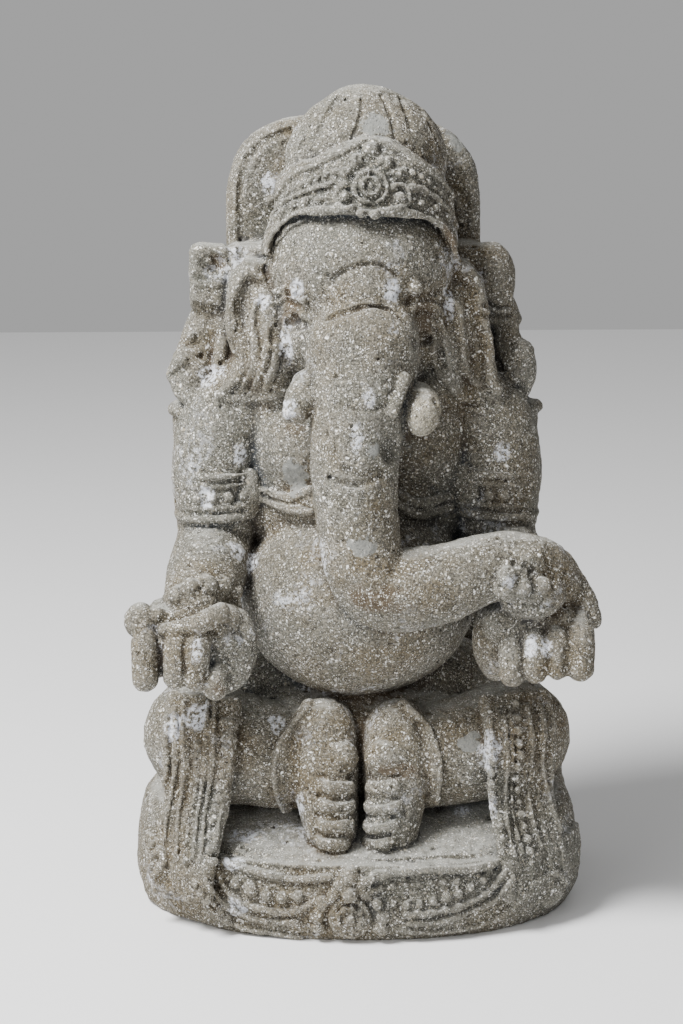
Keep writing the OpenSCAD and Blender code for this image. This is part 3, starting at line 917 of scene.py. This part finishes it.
def detail_sashes():
    """Cords, beaded edges and furrows down both hanging ends."""
    lay, row = partial(cord, "right_sash"), partial(beads, "right_sash")
    for line in (
        [(-140, 216), (-141, 194), (-142, 167), (-146, 140), (-150, 117), (-152, 96), (-154, 80)],
        [(-147, 216), (-147, 193), (-149, 166), (-153, 139), (-157, 116), (-160, 95), (-162, 79)],
        [(-170, 213), (-171, 190), (-170, 167), (-172, 135), (-176, 113), (-177, 91), (-178, 73)],
        [(-179, 209), (-178, 189), (-178, 162), (-182, 133), (-187, 111), (-189, 88)],
    ):
        lay(line, 3.0, 1.6)
    lay([(-125, 203), (-125, 181), (-128, 156), (-132, 132), (-137, 109),
        (-141, 88)], 3.4, 0.6, blend=3)
    row([(-130, 202), (-130, 179), (-133, 153), (-136, 132), (-143, 112), (-145, 90),
        (-142, 78)], 5.2, 12, 2)
    row([(-156, 180), (-156, 157), (-159, 134), (-165, 112), (-168, 90),
        (-169, 74)], 3.6, 8.5, 1.5)
    row([(-187, 201), (-187, 177), (-187, 150), (-196, 105)], 3.4, 8, 1.5)
    groove([(-163, 188), (-163, 165), (-165, 143), (-169, 121)], 3)
    lay, row = partial(cord, "left_sash"), partial(beads, "left_sash")
    for line in (
        [(138, 204), (140, 177), (139, 151), (138, 125), (140, 101), (145, 79)],
        [(144, 207), (145, 183), (144, 155), (144, 126), (148, 100), (153, 80)],
        [(161, 210), (164, 188), (164, 156), (161, 133), (165, 106), (172, 82)],
        [(176, 209), (178, 182), (176, 154), (181, 129), (188, 105), (194, 91)],
    ):
        lay(line, 3.0, 1.6)
    row([(126, 188), (125, 164), (125, 142), (125, 122)], 5, 11.5, 1, 2)
    row([(150, 213), (151, 191), (152, 167), (149, 149), (151, 126), (156, 103),
        (161, 80)], 4.8, 11, 2)
    row([(132, 106), (134, 90), (128, 73)], 4.6, 11, 2)
    groove([(129, 203), (130, 177), (130, 149), (131, 123)], 2.4)
    groove([(171, 208), (172, 182), (171, 154), (173, 129)], 2.4)


def detail_swag():
    """The garland: cords round rows of beads, on both sides of its flower."""
    lay, row = partial(cord, "front_swag"), partial(beads, "front_swag")
    groove([(-141, 83), (-124, 76), (-108, 74), (-80, 72), (-50, 70), (-20, 75)], 2.6)
    lay([(-139, 76), (-117, 70), (-92, 66), (-64, 63), (-31, 66)], 3.4, 1.5)
    groove([(-134, 63), (-107, 60), (-82, 58), (-60, 58), (-31, 62)], 2)
    row([(-121, 54), (-105, 49), (-90, 45), (-76, 44), (-62, 47)], 6.2, 14.5, 1.4, 2)
    lay([(-141, 67), (-130, 46), (-113, 35), (-90, 30), (-69, 31), (-50, 39)], 3.4, 2)
    lay([(-149, 61), (-136, 35), (-115, 22), (-90, 18), (-64, 21)], 3.2, 2)
    row([(-159, 55), (-147, 38), (-129, 17)], 4.2, 9.5, 2)
    lay([(-202, 41), (-190, 23), (-167, 34), (-144, 22), (-117, 9), (-90, 6),
        (-60, 3)], 3.2, 1.5)
    lay([(8, 68), (35, 71), (66, 72), (105, 70), (123, 72)], 4.4, 2)
    lay([(8, 68), (3, 60), (8, 54), (16, 57)], 3.2, 2)
    groove([(10, 77), (37, 77), (70, 78), (106, 77)], 2.2)
    row([(28, 58), (46, 59), (67, 60), (88, 60)], 4.0, 11.5, 0.8, 2.5)
    lay([(40, 30), (66, 30), (98, 36), (122, 47), (135, 64)], 3.4, 2)
    lay([(44, 21), (71, 20), (100, 27), (127, 37), (143, 59)], 3.2, 2)
    row([(28, 41), (46, 39), (69, 42), (92, 48), (114, 58)], 5, 12, 1.2, 2.5)
    lay([(37, 12), (74, 8), (109, 11), (138, 21), (157, 39)], 3.0, 1.5)
    boss("front_swag", (179, 31), 16, -3, 3, 0.7)
    lay([(163, 47), (177, 51), (190, 51), (199, 38)], 3, 1.5)
    cord("plinth", [(-205, 67), (-194, 78), (-190, 69), (-196, 58), (-206, 45)], 4.5, 2)
    hollow((-201, 62), 4, 1)
    for spot, radius in (((-13, 67), 9), ((-22, 59), 7), ((-2, 59), 7), ((-13, 51), 5)):
        boss("front_swag", spot, radius, 1)
    for angle in np.radians(np.arange(9) * 27.5 - 20):
        boss("front_swag", (31 * math.cos(angle) - 13, 26 * math.sin(angle) + 25), 7.5, 0.5)


def mark(kind, spot, radii, depth=10):
    """Paints a patch of lichen, mortar or stain round one front-view point."""
    centre = on_surface([spot], 0)[0]
    marks[kind].append((centre, np.array((radii[0], depth, radii[1]), float)))


def paint():
    """Patches as (x, z, half width, half height), where the photo shows them."""
    patches = {
        "lichen": (
            (28, 615, 9, 12), (-71, 507, 10, 12), (-6, 487, 6, 13), (-139, 521, 14, 12),
            (-117, 359, 14, 10), (-156, 205, 14, 24), (-181, 194, 9, 14), (-111, 89, 17, 13),
            (-126, 73, 12, 8), (-119, 32, 9, 12), (-146, 410, 7, 14), (-114, 450, 8, 10),
            (5, 522, 6, 8), (-38, 365, 6, 22), (170, 286, 6, 12), (156, 289, 6, 12),
            (-155, 288, 5, 16), (-102, 344, 9, 10), (-60, 613, 8, 10), (-69, 560, 6, 22),
            (121, 177, 12, 20), (121, 124, 8, 12), (-81, 197, 8, 12), (138, 452, 8, 9),
            (-85, 701, 10, 10), (101, 100, 10, 7), (-92, 601, 8, 8), (-121, 640, 6, 7),
            (135, 353, 8, 7), (-59, 123, 5, 12), (84, 600, 5, 20),
        ),
        "mortar": (
            (17, 763, 15, 30), (101, 741, 15, 12), (-61, 433, 12, 20), (-3, 387, 13, 9),
            (9, 474, 8, 7), (104, 181, 10, 10),
        ),
        "stain": (
            (58, 474, 15, 9), (47, 476, 6, 14), (-62, 478, 10, 8), (-135, 630, 10, 12),
            (-134, 251, 7, 8), (36, 159, 24, 10), (85, 663, 8, 26), (64, 480, 10, 8),
            (-67, 595, 18, 22), (60, 587, 18, 28), (8, 336, 34, 14),
        ),
    }
    for kind, places in patches.items():
        for x, z, width, height in places:
            mark(kind, (x, z), (width, height))


detail_slab()
detail_topknot()
detail_diadem()
detail_rosette("diadem_rosette", (9, 708), 16, 16, ringed=True)
detail_face()
detail_ears()
detail_tusks()
detail_trunk()
detail_chest()
detail_armlets()
detail_emblems()
detail_hands()
detail_hems()
detail_feet()
detail_sashes()
detail_swag()
detail_rosette("swag_rosette", (-13, 27), 19, 9)
paint()


# ---- weathering ------------------------------------------------------------


def stretched(coarse, count):
    """A coarse random lattice drawn out to the block's own size."""
    out = coarse
    for axis in range(3):
        at = np.linspace(0, out.shape[axis] - 1.001, count[axis])
        first = at.astype(int)
        shape = [1, 1, 1]
        shape[axis] = -1
        share = (at - first).astype(np.float32).reshape(shape)
        share = share * share * (3 - 2 * share)
        a, b = np.take(out, first, axis), np.take(out, first + 1, axis)
        out = a + (b - a) * share
    return out


def ripple(size, amount):
    """Adds lumps of about this size to the whole surface."""
    cells = np.maximum(stone.count * stone.step / size, 2).astype(int) + 1
    coarse = RANDOM.uniform(-amount, amount, cells).astype(np.float32)
    stone.field += stretched(coarse, stone.count)


def soften(field, axis_share):
    """A short blur along each axis."""
    for axis in range(3):
        a = [slice(None)] * 3
        b = [slice(None)] * 3
        c = [slice(None)] * 3
        a[axis], b[axis], c[axis] = slice(None, -2), slice(1, -1), slice(2, None)
        middle = field[tuple(b)]
        field[tuple(b)] = middle + axis_share * (field[tuple(a)] + field[tuple(c)] - 2 * middle)
    return field


def pock(count, smallest, largest):
    """Small pits at random places on the surface."""
    shell = np.argwhere(np.abs(stone.field) < 0.5 * stone.step)
    for at in shell[RANDOM.randint(0, len(shell), count)]:
        radius = RANDOM.uniform(smallest, largest)
        centre = stone.low + stone.step * (at + RANDOM.uniform(-0.5, 0.5, 3))
        low, high = centre - radius - stone.step, centre + radius + stone.step
        window = stone.window(low, high)
        x, y, z = stone.grid(window)
        gap = np.sqrt((x - centre[0]) ** 2 + (y - centre[1]) ** 2 + (z - centre[2]) ** 2) - radius
        stone.field[window] = np.maximum(stone.field[window], -gap * 0.8)


LUMPS, FINE_LUMPS = [(60, 1.6), (24, 1.1), (9, 0.6)], [(4.5, 0.65)]
PIT_SIZES = 1.2, 2.6


def weather():
    """Softened edges, lumps from a hand's width down to a grain, pits, and air all round."""
    soften(stone.field, 0.12)
    for size, amount in (LUMPS + FINE_LUMPS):
        ripple(size, amount)
    pock(1700, *PIT_SIZES)
    for axis in range(3):
        edge = [slice(None)] * 3
        for end in (slice(0, 1), slice(-1, None)):
            edge[axis] = end
            stone.field[tuple(edge)] = FAR


weather()


def crowding(step_count):
    """How much stone surrounds each point: about a half on flat ground."""
    solid = (stone.field < 0).astype(np.float32)[::2, ::2, ::2]
    for _ in range(step_count):
        soften(solid, 0.25)
    return solid


# ---- meshing -------------------------------------------------------------------


def crossings(labels, field):
    """Lattice edges that join two different pieces, and where the surface cuts them."""
    found = []
    for axis in range(3):
        a = [slice(None)] * 3
        b = [slice(None)] * 3
        a[axis], b[axis] = slice(None, -1), slice(1, None)
        at = np.argwhere(labels[tuple(a)] != labels[tuple(b)])
        end = at.copy()
        end[:, axis] += 1
        la, lb = labels[tuple(at.T)], labels[tuple(end.T)]
        fa, fb = field[tuple(at.T)], field[tuple(end.T)]
        outer = (la == 0) | (lb == 0)
        share = np.where(outer, fa / np.where(fa == fb, 1, fa - fb), 0.5)
        place = at.astype(np.float32)
        place[:, axis] += np.clip(share, 0.02, 0.98)
        found.append((axis, at, la, lb, outer, place))
    return found


def surface(block):
    """Shared vertices, and the four-sided faces of every piece."""
    labels = np.where(block.field < 0, block.owner, 0).astype(np.uint8)
    stride = np.array([labels.shape[1] * labels.shape[2], labels.shape[2], 1])
    cells, places, kinds, faces = [], [], [], []
    for axis, at, la, lb, outer, place in crossings(labels, block.field):
        u, v = (axis + 1) % 3, (axis + 2) % 3
        quad = []
        for du, dv in ((0, 0), (-1, 0), (-1, -1), (0, -1)):
            corner = at.copy()
            corner[:, u] += du
            corner[:, v] += dv
            quad.append(corner @ stride)
        quad = np.stack(quad, 1)
        for k in range(4):
            cells.append(quad[:, k])
            places.append(place)
            kinds.append(outer)
        faces.append((quad, la, lb))
    cells, places, kinds = np.concatenate(cells), np.concatenate(places), np.concatenate(kinds)
    index, which = np.unique(cells, return_inverse=True)
    has_outer = np.bincount(which, kinds, len(index)) > 0
    weight = np.where(has_outer[which], kinds, True).astype(float)
    total = np.bincount(which, weight, len(index))
    points = np.stack([np.bincount(which, weight * places[:, k], len(index)) / total for k in range(3)], 1)
    per_piece = {name: [] for name in block.names[1:]}
    for quad, la, lb in faces:
        quad = np.searchsorted(index, quad)
        for number, name in enumerate(block.names[1:], 1):
            per_piece[name].append(quad[la == number])
            per_piece[name].append(quad[lb == number][:, ::-1])
    return block.low + block.step * points, {n: np.concatenate(q) for n, q in per_piece.items()}


def outward(block, points):
    """Unit vectors away from the stone."""
    reach = 0.6 * block.step
    slope = []
    for k in range(3):
        shift = np.zeros(3)
        shift[k] = reach
        slope.append(block.sample(block.field, points + shift) - block.sample(block.field, points - shift))
    slope = np.stack(slope, 1)
    return slope / np.maximum(np.linalg.norm(slope, axis=1, keepdims=True), TINY)


def make_mesh(name, points, normals, quads, details):
    used, quads = np.unique(quads, return_inverse=True)
    quads = quads.reshape(-1, 4).astype(np.int32)
    mesh = bpy.data.meshes.new(name)
    mesh.vertices.add(len(used))
    mesh.vertices.foreach_set("co", (points[used] * UNIT).astype(np.float32).ravel())
    mesh.loops.add(quads.size)
    mesh.loops.foreach_set("vertex_index", quads.ravel())
    mesh.polygons.add(len(quads))
    mesh.polygons.foreach_set("loop_start", np.arange(0, quads.size, 4, dtype=np.int32))
    mesh.update(calc_edges=True)
    mesh.polygons.foreach_set("use_smooth", np.ones(len(quads), bool))
    mesh.normals_split_custom_set_from_vertices(normals[used])
    for kind, values in details.items():
        layer = mesh.attributes.new(kind, "FLOAT", "POINT")
        layer.data.foreach_set("value", values[used].astype(np.float32))
    piece = bpy.data.objects.new(name, mesh)
    bpy.context.scene.collection.objects.link(piece)
    return piece


# ---- what each spot of the surface is like ------------------------------------


NEAR_STEPS, WIDE_STEPS = 3, 26
CAVITY_GAIN, CREASE_GAIN = 3.4, 3.6


def attributes(points, normals):
    """Per-vertex cavity, crease, wear, upward and painted patches, from 0 to 1."""
    near, wide = crowding(NEAR_STEPS), crowding(WIDE_STEPS)
    half = Block(stone.low, stone.low + stone.step * (stone.count - 1), 2 * stone.step)
    reach = points + normals * 1.5
    near, wide = half.sample(near, reach), half.sample(wide, reach)
    flat_near, flat_wide = np.median(near), np.median(wide)
    # Cavity and crease mark the hollows that the material darkens with dirt and painted shade.
    out = {
        "cavity": np.clip((wide - flat_wide) * CAVITY_GAIN, 0, 1),
        "crease": np.clip((near - flat_near) * CREASE_GAIN, 0, 1),
        "wear": np.clip((flat_near - near) * CREASE_GAIN, 0, 1),
        "upward": np.clip(normals[:, 2] * 5 - 4, 0, 1),
    }
    for kind, patches in marks.items():
        patch = np.zeros(len(points), np.float32)
        for centre, radii in patches:
            gap = np.linalg.norm((points - centre) / radii, axis=1)
            patch = np.maximum(patch, np.clip(1.35 - gap, 0, 1))
        out[kind] = patch
        out[kind + "_near"] = np.minimum(patch * 8, 1)
    return out


# ---- materials -------------------------------------------------------------------


def rgb(red, green, blue):
    return (red, green, blue, 1.0)


# Linear colours of the tuff, of what has settled or grown on it, and of the painted shade in its hollows.
OCHRE_GREY = rgb(0.128, 0.122, 0.104)
DARK_GRAIN = rgb(0.07, 0.062, 0.05)
# Brown and blue-grey: dirt, and painted shade, in the hollows and creases.
BROWN_DIRT_AND_SHADE, BLUE_DIRT_AND_SHADE = rgb(0.05, 0.036, 0.022), rgb(0.045, 0.05, 0.055)
WORN_EDGE = rgb(0.40, 0.385, 0.335)
DUST = rgb(0.42, 0.42, 0.385)
MORTAR = rgb(0.25, 0.258, 0.245)
RUST = rgb(0.078, 0.055, 0.033)
LICHEN = rgb(0.70, 0.72, 0.77)
TAN_GRIT, WHITE_GRIT = rgb(0.36, 0.32, 0.24), rgb(1.0, 0.99, 0.95)
FLECK_SHARE = 0.46


class Mixer:
    """Adds nodes to one material's tree; each call returns the new node's output."""

    def __init__(self, tree):
        self.tree = tree

    def node(self, kind, inputs=None, **settings):
        """A shader node with its settings, and its inputs linked or filled in."""
        made = self.tree.nodes.new(kind)
        for key, value in settings.items():
            setattr(made, key, value)
        for key, value in (inputs or {}).items():
            self.fill(made.inputs[key], value)
        return made

    def fill(self, socket, value):
        if isinstance(value, bpy.types.NodeSocket):
            self.tree.links.new(value, socket)
        else:
            socket.default_value = value

    def calc(self, operation, *values):
        return self.node("ShaderNodeMath", dict(enumerate(values)), operation=operation).outputs[0]

    def times(self, a, b):
        return self.calc("MULTIPLY", a, b)

    def span(self, value, low, high, start=0.0, end=1.0):
        """A value's rise from low to high, smoothed, as start to end."""
        inputs = {"Value": value, "From Min": low, "From Max": high, "To Min": start, "To Max": end}
        return self.node("ShaderNodeMapRange", inputs, interpolation_type="SMOOTHSTEP").outputs[0]

    def blend(self, share, a, b, how="MIX"):
        """Two colours mixed by a share from 0 to 1."""
        inputs = {0: share, 6: a, 7: b}
        return self.node("ShaderNodeMix", inputs, data_type="RGBA", blend_type=how).outputs[2]

    def noise(self, where, scale, detail=3.0, rough=0.6, distortion=0.0):
        inputs = {"Vector": where, "Scale": scale, "Detail": detail, "Roughness": rough}
        inputs["Distortion"] = distortion
        return self.node("ShaderNodeTexNoise", inputs).outputs["Fac"]

    def specks(self, where, scale, share):
        """Scattered grains of mixed size: about this share of the cells holds one."""
        cells = self.node("ShaderNodeTexVoronoi", {"Vector": where, "Scale": scale})
        pick = self.node("ShaderNodeSeparateColor", {"Color": cells.outputs["Color"]})
        chosen = self.span(pick.outputs[0], 1 - share - 0.02, 1 - share + 0.02)
        size = self.calc("MULTIPLY_ADD", pick.outputs[1], 0.35, 0.22)
        away = self.calc("DIVIDE", cells.outputs["Distance"], size)
        return self.times(chosen, self.span(away, 0.65, 1.0, 1.0, 0.0))

    def painted(self, name):
        return self.node("ShaderNodeAttribute", attribute_name=name).outputs["Fac"]


def stone_material(name, warm, cool, dark_share, bump_depth):
    """Weathered volcanic tuff: sandy ground, pale and dark grit, lichen."""
    material = bpy.data.materials.new(name)
    material.use_nodes = True
    surface_node = material.node_tree.nodes["Principled BSDF"]
    mix = Mixer(material.node_tree)
    where = mix.node("ShaderNodeTexCoord").outputs["Object"]
    shifted = mix.node("ShaderNodeVectorMath", {0: where, 1: (3.1, 1.7, 5.3)}).outputs[0]
    wobble = mix.node("ShaderNodeTexNoise", {"Vector": where, "Scale": 420.0, "Detail": 2.0})
    wobble = {0: wobble.outputs["Color"], "Scale": 0.004}
    wobble = mix.node("ShaderNodeVectorMath", wobble, operation="SCALE").outputs[0]
    ragged = mix.node("ShaderNodeVectorMath", {0: where, 1: wobble}).outputs[0]

    # The ground: warm and cool areas, paler patches, and sand in every shade.
    broad = mix.noise(where, 7.0)
    patchy = mix.noise(where, 38.0, 5.0, 0.7)
    sandy = mix.noise(where, 520.0, 3.0, 0.75)
    ground = mix.blend(mix.span(broad, 0.36, 0.62), warm, cool)
    ground = mix.blend(mix.span(patchy, 0.3, 0.72, 0.0, 0.65), ground, OCHRE_GREY)
    shade = mix.span(sandy, 0.32, 0.68, 0.22, 2.1)
    shade = mix.node("ShaderNodeCombineColor", {0: shade, 1: shade, 2: shade}).outputs[0]
    ground = mix.blend(1.0, ground, shade, "MULTIPLY")

    # Patches painted on the mesh, with ragged edges.
    edge = mix.span(mix.noise(shifted, 95.0, 4.0, 0.7), 0.3, 0.7, -0.42, 0.42)
    lichen, mortar, stain = (
        mix.calc("ADD", mix.painted(kind), mix.times(edge, mix.painted(kind + "_near")))
        for kind in marks
    )

    # Dark grains, dirt and painted shade in the hollows, wear on the edges and dust on level faces.
    dark = mix.specks(shifted, 340.0, dark_share)
    cavity, crease = mix.painted("cavity"), mix.painted("crease")
    ground = mix.blend(mix.times(dark, 0.8), ground, DARK_GRAIN)
    deep = mix.calc("ADD", mix.times(cavity, 0.85), mix.times(crease, 0.55))
    # Hollows and creases darken towards brown or blue-grey: partly dirt, partly painted shade.
    dirt_and_shade = mix.blend(mix.span(broad, 0.4, 0.6), BROWN_DIRT_AND_SHADE, BLUE_DIRT_AND_SHADE)
    ground = mix.blend(mix.node("ShaderNodeClamp", {0: deep}).outputs[0], ground, dirt_and_shade)
    ground = mix.blend(mix.times(mix.painted("wear"), 0.22), ground, WORN_EDGE)
    settled = mix.times(mix.painted("upward"), mix.span(patchy, 0.25, 0.65, 0.3, 0.7))
    ground = mix.blend(settled, ground, DUST)
    ground = mix.blend(mix.span(mortar, 0.3, 0.5, 0.0, 0.65), ground, MORTAR)
    rusty = mix.times(mix.span(stain, 0.05, 1.0), mix.span(patchy, 0.25, 0.6, 0.25, 0.8))
    ground = mix.blend(rusty, ground, RUST)

    # Lichen: thin crusts in places, and thick ones at the painted patches.
    bloom = mix.noise(shifted, 19.0, 5.0, 0.65, 0.4)
    crust = mix.noise(where, 210.0, 3.0, 0.7)
    thin = mix.times(mix.span(bloom, 0.57, 0.70), mix.span(crust, 0.46, 0.58, 0.0, 0.6))
    thick = mix.times(mix.span(lichen, 0.1, 0.8), mix.span(crust, 0.42, 0.54, 0.0, 0.95))
    ground = mix.blend(mix.calc("MAXIMUM", thin, thick), ground, LICHEN)

    # Pale grit in three sizes, in clumps, thinner on mortar, and thinner in hollows under dirt and painted
    # shade.
    pale = mix.specks(ragged, 430.0, FLECK_SHARE)
    large = mix.specks(ragged, 230.0, FLECK_SHARE * 0.22)
    fine = mix.specks(where, 820.0, FLECK_SHARE * 1.1)
    grit = mix.calc("MAXIMUM", mix.calc("MAXIMUM", pale, large), mix.times(fine, 0.85))
    smooth = mix.calc("SUBTRACT", 1.0, mix.span(mortar, 0.3, 0.5, 0.0, 0.85))
    # Fewer grains in the hollows: part of their dirt and painted shade.
    clean_and_unshaded = mix.calc("SUBTRACT", 1.0, mix.times(cavity, 0.55))
    grit = mix.times(mix.times(grit, smooth), clean_and_unshaded)
    tone = mix.span(mix.noise(shifted, 360.0, 1.0), 0.38, 0.66)
    clumps = mix.span(mix.noise(where, 62.0), 0.32, 0.60, 0.45, 1.0)
    colour = mix.blend(mix.times(grit, clumps), ground, mix.blend(tone, TAN_GRIT, WHITE_GRIT))

    relief = mix.calc("ADD", mix.times(sandy, 0.8), mix.times(grit, 0.5))
    relief = mix.calc("SUBTRACT", relief, mix.times(dark, 0.9))
    bump = {"Strength": 0.75, "Distance": bump_depth, "Height": relief}
    mix.fill(surface_node.inputs["Base Color"], colour)
    mix.fill(surface_node.inputs["Normal"], mix.node("ShaderNodeBump", bump).outputs["Normal"])
    mix.fill(surface_node.inputs["Roughness"], mix.span(grit, 0.0, 1.0, 0.95, 0.72))
    mix.fill(surface_node.inputs["Specular IOR Level"], 0.25)
    return material


# ---- the pieces ----------------------------------------------------------------

points, piece_quads = surface(stone)
normals = outward(stone, points)
details = attributes(points, normals)
tuff = stone_material("tuff", rgb(0.080, 0.061, 0.033), rgb(0.076, 0.074, 0.060), 0.36, 0.0024)
pale_tuff = stone_material("pale_tuff", rgb(0.19, 0.15, 0.092), rgb(0.18, 0.163, 0.12), 0.26, 0.0026)
for name, quads in piece_quads.items():
    piece = make_mesh("stone_" + name, points, normals, quads, details)
    piece.data.materials.append(pale_tuff if name == "left_tusk" else tuff)
    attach(piece, "root")
    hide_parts(name)


# ---- camera, light and floor ------------------------------------------------------

SENSOR_MM, LENS_MM = 36, 87.6
KEY_POWER, FILL_POWER, SKY = 220, 30, 0.42
PAPER = (0.86, 0.86, 0.86, 1)
FLOOR_REACH = 4
scene = bpy.context.scene


def place_camera():
    """Straight in front, a little above the head, looking down at the idol's middle."""
    data = bpy.data.cameras.new("camera")
    data.sensor_width = SENSOR_MM
    data.lens = LENS_MM
    camera = bpy.data.objects.new("camera", data)
    turn, tilt = math.radians(-2), math.radians(12.16)
    distance, height, side = 2.4, 0.9, -0.015
    camera.location = (distance * math.sin(turn) + side, -distance * math.cos(turn), height)
    camera.rotation_euler = (math.pi / 2 - tilt, 0, turn)
    scene.collection.objects.link(camera)
    scene.camera = camera


def soft_light(name, place, aim, size, power):
    data = bpy.data.lights.new(name, "AREA")
    data.shape = "DISK"
    data.size = size
    data.energy = power
    light = bpy.data.objects.new(name, data)
    light.location = place
    light.rotation_euler = (Vector(aim) - Vector(place)).to_track_quat("-Z", "Y").to_euler()
    scene.collection.objects.link(light)


def light_scene():
    soft_light("key", (-1.4, -0.85, 2.6), (0, 0, 0.4), 1.0, KEY_POWER)
    soft_light("fill", (-1.6, -2.2, 0.8), (0, 0, 0.25), 1.6, FILL_POWER)
    world = bpy.data.worlds.new("studio")
    world.use_nodes = True
    background = world.node_tree.nodes["Background"]
    background.inputs["Color"].default_value = (1, 1, 1, 1)
    background.inputs["Strength"].default_value = SKY
    scene.world = world


def lay_floor():
    mesh = bpy.data.meshes.new("floor")
    far = FLOOR_REACH
    corners = [(-far, -far, 0), (far, -far, 0), (far, far, 0), (-far, far, 0)]
    mesh.from_pydata(corners, [], [(0, 1, 2, 3)])
    floor = bpy.data.objects.new("floor", mesh)
    scene.collection.objects.link(floor)
    material = bpy.data.materials.new("floor")
    material.use_nodes = True
    material.node_tree.nodes["Principled BSDF"].inputs["Base Color"].default_value = PAPER
    floor.data.materials.append(material)


place_camera()
light_scene()
lay_floor()
